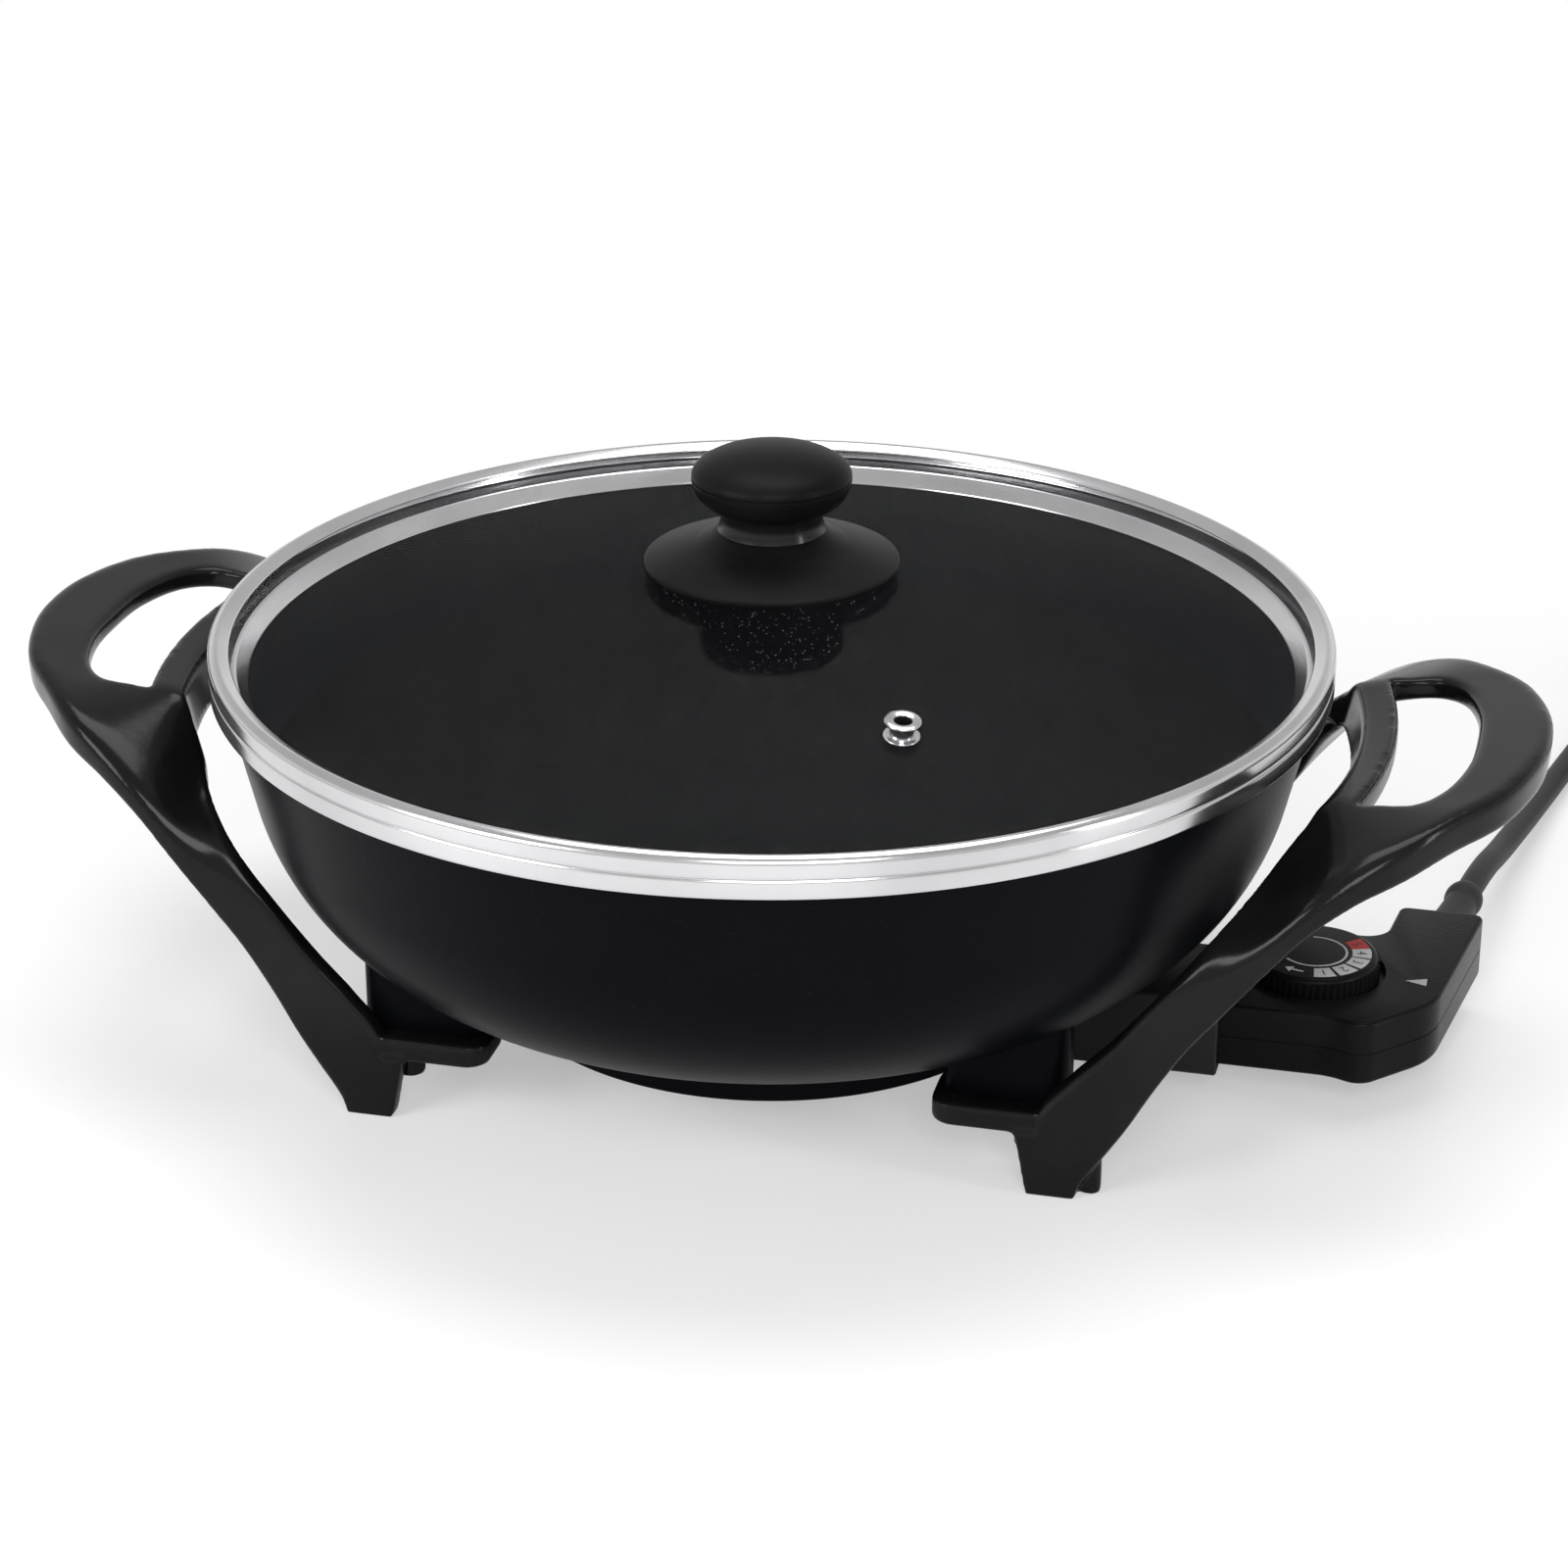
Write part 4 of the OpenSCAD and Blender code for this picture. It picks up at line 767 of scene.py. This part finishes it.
shelf_z0, shelf_z1, shelf_x, shelf_y = 19, 26.6, 87.8, 74
shelf_outline = box_corners(40, 24, 7)
screw_x, boss_low_z, boss_r = 95.8, 8.5, 4.6
foot_top_z = 20
foot_outline = [(-foot_w / 2, 0), (foot_w / 2, 0), (foot_w / 2 + 1.5, foot_top_z),
                (-foot_w / 2 - 3.9, foot_top_z)]
peg_x, peg_y, peg_r, peg_h = 115.6, 79.7, 3.3, 22.6
handle_parts = [strap_mesh, bar_mesh]
handle_pegs = []
for side in (-1, 1):
    shelf = plate(rounded(shelf_outline), shelf_z0, shelf_z1)
    foot = [[(foot_x + x, side * y, z) for x, z in foot_outline] for y in (leg_in, leg_out)]
    handle_parts += [moved(shelf, at(shelf_x, side * shelf_y)),
                     post(screw_x, side * lug_y, boss_r, boss_low_z, foot_top_z), loft(foot)]
    handle_pegs.append(post(peg_x, side * peg_y, peg_r, 0, peg_h))


def fused(mesh, grain, rounds):
    """One skin over overlapping shapes, with soft edges as a moulding has."""
    made = standing("fused", mesh)
    remesh = made.modifiers.new("remesh", "REMESH")
    remesh.mode = "VOXEL"
    remesh.voxel_size = grain * MM
    remesh.use_smooth_shade = True
    soft = made.modifiers.new("soft", "SMOOTH")
    soft.factor = 0.5
    soft.iterations = rounds
    return settled(made)


skin_grain, skin_rounds = 0.75, 16
recess_r, recess_h = 4, 3


def handle_mesh(parts):
    """A handle's moulding with the recesses for its screw heads."""
    recesses = [post(screw_x, side * lug_y, recess_r, boss_low_z - 1, boss_low_z + recess_h, 40)
                for side in (-1, 1)]
    return carved(fused(joined(parts), skin_grain, skin_rounds), *recesses)


gloss_black = moulded("gloss_black", (0.004, 0.004, 0.0042), 0.17, 500.0, 0.00002, 0.15)
right_mesh = handle_mesh(handle_parts + handle_pegs)
left_mesh = moved(handle_mesh(handle_parts), Matrix.Diagonal((-1, 1, 1, 1)))
put("handle_right_moulding", right_mesh, [gloss_black], "base", "handle_plastic", "handle_right")
put("handle_left_moulding", left_mesh, [gloss_black], "base", "handle_plastic", "handle_left")


# Handle screws: four zinc-plated cross-head screws, driven up through the shelves into the bowl's lugs. Their
# heads sit in recesses under the shelves.
def node_tree(name, inputs, *kinds):
    """A tree of geometry nodes with named inputs, its input and output nodes, and nodes of these kinds."""
    tree = bpy.data.node_groups.new(name, "GeometryNodeTree")
    tree.interface.new_socket("Geometry", in_out="INPUT", socket_type="NodeSocketGeometry")
    for label, kind in inputs:
        tree.interface.new_socket(label, in_out="INPUT", socket_type=kind)
    tree.interface.new_socket("Geometry", in_out="OUTPUT", socket_type="NodeSocketGeometry")
    ends = [tree.nodes.new("NodeGroupInput"), tree.nodes.new("NodeGroupOutput")]
    return tree, *ends, *(tree.nodes.new("GeometryNode" + kind) for kind in kinds)


def wire_up(tree, *links):
    """Links the named outputs and inputs of nodes."""
    for source, output, target, socket in links:
        tree.links.new(source.outputs[output], target.inputs[socket])


def finish_copies(tree, tree_in, tree_out, copies, finish):
    """Ends a tree: its copies become real and get the material of the named input."""
    real = tree.nodes.new("GeometryNodeRealizeInstances")
    coated = tree.nodes.new("GeometryNodeSetMaterial")
    wire_up(tree, (copies, "Instances", real, "Geometry"), (real, "Geometry", coated, "Geometry"),
            (tree_in, finish, coated, "Material"), (coated, "Geometry", tree_out, "Geometry"))


def grown(points, edges, tree, values):
    """The plain mesh that a tree makes from points in millimetres and the edges between them."""
    mesh = bpy.data.meshes.new("points")
    mesh.from_pydata([Vector(p) * MM for p in points], edges, [])
    made = standing("grown", mesh)
    modifier = made.modifiers.new("nodes", "NODES")
    modifier.node_group = tree
    for item in tree.interface.items_tree:
        if item.in_out == "INPUT" and item.name in values:
            modifier[item.identifier] = values[item.name]
    return settled(made)


screw_tree, screw_in, screw_out, screw_shape, screw_copies = node_tree(
    "screw_set", [("Screw", "NodeSocketObject"), ("Metal", "NodeSocketMaterial")],
    "ObjectInfo", "InstanceOnPoints")
wire_up(screw_tree, (screw_in, "Geometry", screw_copies, "Points"),
        (screw_in, "Screw", screw_shape, "Object"), (screw_shape, "Geometry", screw_copies, "Instance"))
finish_copies(screw_tree, screw_in, screw_out, screw_copies, "Metal")


def screw_mesh(head_r, head_h, shank_r, length):
    """Pan-head screw with a cross recess, standing on its head."""
    body = lathe(softened([
        (0, 0), (0.7 * head_r, 0), (head_r, 0.5 * head_h), (head_r, head_h), (shank_r, head_h),
        (shank_r, length - shank_r), (0.2 * shank_r, length), (0, length)], 0.25), 32)
    slot = rounded(box_corners(1.3 * head_r, 0.3 * head_r, 0.05), 2)
    cross = [moved(plate(slot, -1, 0.5 * head_h), Matrix.Rotation(turn, 4, "Z")) for turn in (0, math.pi / 2)]
    return carved(body, *cross)


def screw_set(places, mesh, metal):
    """Copies of a screw at points in millimetres."""
    model = standing("screw_model", mesh)
    result = grown(places, [], screw_tree, {"Screw": model, "Metal": metal})
    bpy.data.objects.remove(model)
    return result


zinc = worn_metal("zinc_plate", (0.55, 0.56, 0.57), 0.34, 200.0)
lug_places = [(sx * screw_x, sy * lug_y, boss_low_z + 0.3) for sx in (-1, 1) for sy in (-1, 1)]
handle_screws = screw_set(lug_places, screw_mesh(head_r=3.8, head_h=2.7, shank_r=2, length=28.8), zinc)
put("handle_screw_set", handle_screws, [], "base", "plain_steel", "handle_screws")

# Lid band: rolled stainless strip round the glass, polished outside. A bead line splits its outer wall, the
# top folds inward over the glass, and a skirt inside centres the lid on the rim.
band_r, band_t = 170, 0.8
web_z = 130.2
web_top_z = web_z + band_t
band_low_z, band_high_z = web_top_z - 5.6, web_top_z + 5.8
seat_gap = 0.2
lip_w, skirt_gap, skirt_h, skirt_in = 6.5, 0.5, 4.4, 4
dome_r, glass_t, glass_r = 600, 3, 165.5
glass_edge_drop = dome_r - math.sqrt((dome_r - glass_t) ** 2 - glass_r ** 2)
dome_apex_z = web_top_z + seat_gap + glass_edge_drop
dome_centre_z = dome_apex_z - dome_r


def dome_z(r, radius=dome_r):
    return dome_centre_z + math.sqrt(radius * radius - r * r)


lip_in_r = band_r - lip_w
lip_in_z = dome_z(lip_in_r) + seat_gap
crest_r, crest_z = band_r - 0.4 * lip_w, band_high_z + max(lip_in_z + band_t - band_high_z, 0) + 1.1
wall_in_r, skirt_r = band_r - band_t, wall_r(rim_z, pan_t) - skirt_gap
skirt_low_r, skirt_low_z = skirt_r - skirt_in, web_z - skirt_h
bead = 0.5
band_profile = softened([
    (wall_in_r, band_low_z), (band_r, band_low_z), (band_r, web_top_z - bead), (band_r - bead, web_top_z),
    (band_r, web_top_z + bead), (band_r, band_high_z - 1), (band_r - 0.7, band_high_z + 0.2),
    (crest_r, crest_z), (lip_in_r, lip_in_z + band_t), (lip_in_r, lip_in_z), (crest_r, crest_z - band_t),
    (wall_in_r - 0.4, band_high_z - 0.6), (wall_in_r, band_high_z - 1.4), (wall_in_r, web_top_z),
    (skirt_r - band_t, web_top_z), (skirt_low_r - band_t, skirt_low_z), (skirt_low_r, skirt_low_z),
    (skirt_r, web_z), (wall_in_r, web_z)], 0.9, 5, closed=True)


def polished_band():
    """Polished stainless steel with faint turning marks that run round the lid."""
    material, place = new_finish("polished_steel", {"Metallic": 1.0})
    across = place.node("ShaderNodeVectorMath", {"operation": "MULTIPLY"}, {0: place, 1: (1.0, 1.0, 0.0)})
    ring = place.node("ShaderNodeCombineXYZ", {}, {0: across.length(), 2: place.part(2)})
    lines = ring.noise(2600.0, 3.0)
    smears = place.noise(22.0, 5.0)
    smears.between(0.3, 0.7).mix((0.5, 0.5, 0.51, 1), (0.58, 0.58, 0.59, 1)).feed("Base Color")
    (0.10 + smears * 0.09 + lines * 0.06).feed("Roughness")
    lines.bump(0.00001).feed("Normal")
    return material


polished = polished_band()
put("lid_rim", lathe(band_profile, 240, closed=True), [polished], "lid", "lid_steel", "lid_band")

# Lid glass: one clear tempered dome with polished edges, drilled for the knob's screw and the steam vent.
# The band's folded lip holds its edge.
vent_at = 109
vent_turn = math.radians(-56.7)
vent_tilt = math.asin(vent_at / dome_r)
vent_frame = (Matrix.Translation((0, 0, dome_centre_z * MM)) @ Matrix.Rotation(vent_turn, 4, "Z")
              @ Matrix.Rotation(vent_tilt, 4, "Y") @ Matrix.Translation((0, 0, dome_r * MM)))
glass_steps = 48
glass_top = [(r, dome_z(r)) for r in spread(glass_r, glass_steps)]
glass_low = [(r, dome_z(r, dome_r - glass_t)) for r, z in glass_top[::-1]]
knob_hole_r, vent_hole_r, hole_low, hole_high = 3, 3.6, -10, 5
knob_hole = post(0, 0, knob_hole_r, dome_apex_z + hole_low, dome_apex_z + hole_high)
vent_hole = moved(post(0, 0, vent_hole_r, hole_low, hole_high), vent_frame)
glass_mesh = carved(lathe(glass_top + glass_low, 216), knob_hole, vent_hole)


def clear_glass():
    """Clear glass that lets the lamps light what lies under it."""
    material, place = new_finish("lid_glass", {"Transmission Weight": 1.0, "IOR": 1.46, "Alpha": 0.02})
    smudge = place.noise(9.0, 5.0)
    smudge.between(0.5, 0.8).mix((0.97, 0.985, 0.985, 1), (0.955, 0.975, 0.97, 1)).feed("Base Color")
    (smudge.between(0.5, 0.9) * 0.03).feed("Roughness")
    place.node("ShaderNodeBsdfTransparent", {}, {0: (0.96, 0.97, 0.97, 1)}).blend(place.ray("Shadow"))
    return material


put("lid_dome", glass_mesh, [clear_glass()], "lid", "lid_glass", "lid_glass")

# Steam vent: a small polished steel spool with an open bore and no shutter, spun over both faces of the glass
# in a hole of its own.
vent_bore_r, vent_neck_r, vent_flange_r = 2.6, 3.5, 5.3
vent_low, vent_under, vent_over, vent_high = -4.3, -3.5, 0.5, 1.3
vent_profile = softened([
    (vent_bore_r, vent_low), (vent_flange_r, vent_low), (vent_flange_r, vent_under),
    (vent_neck_r, vent_under), (vent_neck_r, vent_over), (vent_flange_r, vent_over),
    (vent_flange_r, vent_high), (4.2, 1.7), (vent_bore_r, vent_high)], 0.35, 4, closed=True)
vent_mesh = moved(lathe(vent_profile, 64, closed=True), vent_frame)
put("steam_vent", vent_mesh, [polished], "lid", "lid_steel", "vent_eyelet")

# Lid knob: satin black heat-proof plastic in three pieces, a flared disc on the glass, a waisted neck that
# opens into the grip, and a domed cap above the seam. A screw and washer from below hold them.
disc_r, disc_edge, disc_h = 38.6, 2, 11.4
neck_r, neck_h = 16.3, 7.5
knob_r, knob_low_h, knob_cap_h = 24.1, 8.6, 9.2
knob_gap, knob_bore_r, knob_bore_l, neck_waist = 0.1, 2.1, 11, 1.1
disc_z = dome_z(disc_r) + knob_gap
disc_top_z = disc_z + disc_h
knob_low_z = disc_top_z + neck_h
knob_seam_z = knob_low_z + knob_low_h
waist_r = neck_r + 3
disc_profile = softened([
    (knob_bore_r, dome_apex_z + knob_gap), (disc_r / 2, dome_z(disc_r / 2) + knob_gap),
    (disc_r - 0.3, disc_z), (disc_r, disc_z + 0.4), (disc_r, disc_z + disc_edge),
    (waist_r + 4, disc_z + 0.62 * disc_h), (waist_r, disc_z + 0.8 * disc_h), (neck_r, disc_top_z),
    (knob_bore_r, disc_top_z)], 0.8, 5, closed=True)
neck_flare = [(neck_r + (knob_r - neck_r) * math.sin(a), knob_low_z + knob_low_h * (1 - math.cos(a)))
              for a in spread(math.pi / 2, 16)]
knob_bore_z = disc_top_z + knob_bore_l
neck_profile = [(0, knob_bore_z), (knob_bore_r, knob_bore_z), (knob_bore_r, disc_top_z), (neck_r, disc_top_z),
                (neck_r - neck_waist, disc_top_z + neck_h / 2)] + neck_flare + [(0, knob_seam_z)]
seam = 0.35
cap_curve = [(knob_r * math.cos(a), knob_seam_z + 2 * seam + (knob_cap_h - 2 * seam) * math.sin(a))
             for a in spread(math.pi / 2, 24)[:-1]]
cap_profile = [(0, knob_seam_z), (knob_r - seam, knob_seam_z), (knob_r - seam, knob_seam_z + seam)]
cap_profile += cap_curve + [(0, knob_seam_z + knob_cap_h)]
knob_black = moulded("knob_black", (0.004, 0.004, 0.0042), 0.40, 1500.0, 0.00006, 0.05)
neck_black = moulded("neck_black", (0.004, 0.004, 0.0042), 0.20, 900.0, 0.00002, 0.25)
put("knob_disc", lathe(disc_profile, 128, closed=True), [knob_black], "lid", "knob_plastic", "knob_skirt")
put("knob_neck", lathe(neck_profile, 128), [neck_black], "lid", "knob_plastic", "knob_body")
put("knob_dome", lathe(cap_profile, 128), [knob_black], "lid", "knob_plastic", "knob_cap")
repaint("knob_screw", zinc)
repaint("knob_washer", zinc)

# Controller case: two satin black moulded halves that meet at a seam on the plug's axis. The nose enters the
# shroud, the body holds the dial, and the tail turns back toward the cord. Fine ribs mark the grip in front.
nose_x, nose_w, case_h = 99, 33.4, 21
case_z0, case_z1 = plug_z - case_h / 2, plug_z + case_h / 2
dial_x, dial_y = 168, 15
body_x, body_y = 144.2, 42
tail_x, tail_w, tail_l = 216.5, 26.5, 65.5
case_corners = [
    (nose_x, -nose_w / 2, 1.5), (dial_x + 9, -nose_w / 2, 20), (dial_x + 19.5, -nose_w / 2 - 4.3, 8),
    (dial_x + 39, 0, 25), (tail_x, tail_l, 3), (tail_x - tail_w, tail_l, 3),
    (tail_x - tail_w - 2.7, body_y, 8), (body_x, body_y, 6), (body_x, nose_w / 2, 1),
    (nose_x, nose_w / 2, 1.5)]


def inset(corners, depth):
    """Counterclockwise corners moved inward, with their radii."""
    flat = [Vector(c[:2]) for c in corners]
    result = []
    for i, corner in enumerate(corners):
        u = (flat[i] - flat[i - 1]).normalized()
        v = (flat[(i + 1) % len(flat)] - flat[i]).normalized()
        m, k = Vector((-u.y, u.x)), Vector((-v.y, v.x))
        q = flat[i] + (m + k) * depth / (1 + m.dot(k))
        outward = u.x * v.y - u.y * v.x > 0
        result.append((q.x, q.y, max(0.25, corner[2] + (-depth if outward else depth))))
    return result


def case_ring(z, depth):
    return [(p.x, p.y, z) for p in rounded(inset(case_corners, depth), 10)]


def edge_rings(z_from, z_edge, radius, steps=5):
    """Rings from a wall round a soft edge to the flat face at z_edge."""
    way = 1 if z_edge > z_from else -1
    return [case_ring(z_from, 0)] + [
        case_ring(z_edge - way * radius * (1 - math.sin(a)), radius * (1 - math.cos(a)))
        for a in spread(math.pi / 2, steps)]


seam_cut = 0.25
lower_rings = [case_ring(plug_z, seam_cut)] + edge_rings(plug_z - seam_cut, case_z0, 2.2)
upper_rings = [case_ring(plug_z, seam_cut)] + edge_rings(plug_z + seam_cut, case_z1, 1.3)
well_r, well_z = 22.3, case_z1 - 2.4
dial_well = post(dial_x, dial_y, well_r, well_z, case_z1 + 5, 96)
pin_bore_r, pin_bore_l, probe_bore_r, probe_bore_l = 3.2, 32, 3.7, 18
case_cuts = [bar_x((nose_x - 2, y, plug_z), pin_bore_r, pin_bore_l) for y in (-pin_y, pin_y)]
case_cuts.append(bar_x((nose_x - 2, 0, plug_z), probe_bore_r, probe_bore_l))
case_screw_places = [(151.5, -10.1), (195, 0), (201, 52), (150.5, 36)]
screw_well_r, screw_well_h, spindle_hole_r = 3.2, 2.5, 3.1
screw_wells = [post(x, y, screw_well_r, case_z0 - 2, case_z0 + screw_well_h) for x, y in case_screw_places]
spindle_hole = post(dial_x, dial_y, spindle_hole_r, plug_z + 2, case_z1 + 2)


def sharpened(mesh, angle=SHARP):
    """Carved mesh, smooth except at its sharper edges."""
    mesh.shade_smooth()
    mesh.set_sharp_from_angle(angle=angle)
    return mesh


lower_case = sharpened(carved(loft(lower_rings), *case_cuts, *screw_wells))
upper_case = sharpened(carved(loft(upper_rings), *case_cuts, dial_well, spindle_hole))
case_black = moulded("case_black", (0.005, 0.005, 0.0053), 0.28, 1500.0, 0.00008, 0.06)
put("case_bottom", lower_case, [case_black], "controller", "case_plastic", "controller_lower_case")
put("case_top", upper_case, [case_black], "controller", "case_plastic", "controller_upper_case")

rod_tree, rod_in, rod_out, rod_path, rod_points, rod_shape, rod_copies = node_tree(
    "rods_along", [("Count", "NodeSocketInt"), ("Rod Radius", "NodeSocketFloat"),
                   ("Rod Height", "NodeSocketFloat"), ("Plastic", "NodeSocketMaterial")],
    "MeshToCurve", "ResampleCurve", "MeshCylinder", "InstanceOnPoints")
rod_shape.inputs["Vertices"].default_value = 10
wire_up(rod_tree, (rod_in, "Geometry", rod_path, "Mesh"), (rod_path, "Curve", rod_points, "Curve"),
        (rod_in, "Count", rod_points, "Count"), (rod_points, "Curve", rod_copies, "Points"),
        (rod_in, "Rod Radius", rod_shape, "Radius"), (rod_in, "Rod Height", rod_shape, "Depth"),
        (rod_shape, "Mesh", rod_copies, "Instance"))
finish_copies(rod_tree, rod_in, rod_out, rod_copies, "Plastic")


def rods_along(line, height, radius, count, material):
    """Upright rods at equal steps along a line of points in millimetres."""
    edges = [(i, i + 1) for i in range(len(line) - 1)]
    values = {"Count": count, "Rod Radius": radius * MM, "Rod Height": height * MM, "Plastic": material}
    return sharpened(grown(line, edges, rod_tree, values), math.radians(60))


front_line = [p for p in rounded(inset(case_corners, 0.25), 10)
              if p.y < 0.5 - nose_w / 2 and dial_x - 2 < p.x < dial_x + 19]
rib_z0, rib_z1 = case_z0 + 3, plug_z - 1.2
rib_mid_z = (rib_z0 + rib_z1) / 2
front_ribs = rods_along([(p.x, p.y, rib_mid_z) for p in front_line], rib_z1 - rib_z0, 0.4, 22, case_black)
put("case_grip_ribs", front_ribs, [], "controller", "case_plastic")


# Pointer: a small pale triangle on the case beside the dial, which shows the setting. It is printed in matt
# paint on the satin plastic.
def ink(name, colour):
    return moulded(name, colour, 0.5, 1200.0, 0.00003)


print_grey = ink("print_grey", (0.42, 0.42, 0.42))
print_sink, print_z = 0.02, 0.06
pointer = [(196.5, 12.8), (203.0, 10.6), (203.0, 15.4)]
pointer_mesh = plate(pointer, case_z1 - print_sink, case_z1 + print_z)
put("pointer_print", pointer_mesh, [print_grey], "controller", "case_plastic")

# Works inside the controller: contact carrier and sleeves, probe, thermostat plate and spindle. They show
# only where the probe crosses from the shroud to the bowl, or when the controller is pulled out.
repaint("contact_carrier", satin_black)
repaint("contact_sleeves", brass)
repaint("probe_rod", pin_steel)
repaint("thermostat", ceramic)
repaint("dial_spindle", pin_steel)
case_screws = screw_set([(x, y, case_z0 + 0.2) for x, y in case_screw_places],
                        screw_mesh(head_r=3, head_h=2.2, shank_r=1.6, length=15.8), zinc)
put("case_screw_set", case_screws, [], "controller", "plain_steel", "case_screws")

# Dial: a black moulded knob with fine grip ribs round its side. Its top carries pale printed fields with a
# generic scale of numbers, the highest in red, and an arrow.
dial_r, dial_z0, dial_h = 20.5, well_z + 0.2, 7.8
dial_top = dial_z0 + dial_h
rib_r = 0.62
dial_profile = softened([(0, dial_z0), (dial_r - rib_r, dial_z0), (dial_r - rib_r, dial_top - 1.0),
                         (dial_r - rib_r - 1.2, dial_top), (0, dial_top)], 0.6, 5)
at_dial = at(dial_x, dial_y)
dial_body = moved(lathe(dial_profile, 128), at_dial)
dial_ribs = 60
rib_steps, rib_l, rib_lift, ring_r = 240, 6.0, 3.2, dial_r - rib_r
rib_ring = [(dial_x + x, dial_y + y, dial_z0 + rib_lift)
            for x, y in (polar(ring_r, a) for a in spread(math.tau, rib_steps))]
put("dial_knob", dial_body, [case_black], "dial", "case_plastic", "dial")
rib_mesh = rods_along(rib_ring, rib_l, rib_r, dial_ribs + 1, case_black)
put("dial_grip_ribs", rib_mesh, [], "dial", "case_plastic")
field_z0, field_z1 = dial_top - print_sink, dial_top + 0.05


def field(angle, half_turn, r0, r1, steps=6):
    """Printed patch between two radii, centred on a bearing from the dial's axis."""
    sweep = [math.radians(angle + half_turn * (t - 1)) for t in spread(2, steps)]
    outline = [polar(r1, a) for a in sweep] + [polar(r0, a) for a in sweep[::-1]]
    return moved(plate(outline, field_z0, field_z1), at_dial)


def figure(sign, angle, radius, height, z):
    """A printed figure whose foot points to the dial's axis."""
    letter = bpy.data.curves.new("figure", "FONT")
    letter.body = sign
    letter.size = height * MM
    letter.align_x = "CENTER"
    letter.align_y = "CENTER"
    letter.extrude = 0.03 * MM
    a = math.radians(angle)
    place = at_dial @ at(*polar(radius, a), z) @ Matrix.Rotation(a - math.pi / 2, 4, "Z")
    return moved(settled(standing("figure", letter)), place)


scale_angles = {"1": -72, "2": -45, "3": -18, "4": 8, "5": 32}
print_pale = ink("print_pale", (0.55, 0.55, 0.55))
print_red = ink("print_red", (0.45, 0.02, 0.02))
print_dark = ink("print_dark", (0.02, 0.02, 0.02))
field_half_turn, field_in_r, field_out_r, figure_r, figure_h = 11.4, 11.8, 17.6, 14.4, 4.6
scale_fields = {s: field(a, field_half_turn, field_in_r, field_out_r) for s, a in scale_angles.items()}
red_field = scale_fields.pop("5")
scale_ring = field(-20, 118, 9.7, 10.4, 48)
arrow_tail = field(-104, 8, 14.2, 15.0)
arrow_turn = math.radians(-120)
arrow_base = arrow_turn + 0.16
arrow_head = [polar(14.6, arrow_turn), polar(12.8, arrow_base), polar(16.4, arrow_base)]
arrow_tip = moved(plate(arrow_head, field_z0, field_z1), at_dial)
pale_prints = joined([*scale_fields.values(), scale_ring, arrow_tail, arrow_tip])
put("dial_fields", pale_prints, [print_pale], "dial", "case_plastic")
put("dial_field_red", red_field, [print_red], "dial", "case_plastic")
figures = [figure(s, a, figure_r, figure_h, field_z1 + print_sink) for s, a in scale_angles.items()]
put("dial_figures", joined(figures), [print_dark], "dial", "case_plastic")

# Strain relief: a smooth tapered rubber sleeve with a rolled lip, moulded round the cord. A collar inside the
# case's tail holds it.
relief_from = Vector((tail_x - tail_w / 2 - 0.25, tail_l, plug_z))
relief_way = cord_route[0] - relief_from
relief_l = relief_way.length
relief_r, relief_lip_r = 6.6, 6.2
relief_profile = softened([
    (0, -6), (relief_r + 1, -6), (relief_r + 1, -3), (relief_r, -3), (relief_r, 5),
    (relief_r - 0.9, 0.45 * relief_l), (relief_lip_r - 1, relief_l - 9), (relief_lip_r, relief_l - 6),
    (relief_lip_r, relief_l - 3), (cord_r + 1, relief_l), (0, relief_l)], 1.2, 4)
relief_frame = Matrix.Translation(relief_from * MM) @ relief_way.to_track_quat("Z", "Y").to_matrix().to_4x4()
relief_mesh = moved(lathe(relief_profile, 64), relief_frame)
put("cord_relief", relief_mesh, [rubber], "controller", "cord_rubber", "strain_relief")

bpy.context.view_layer.update()
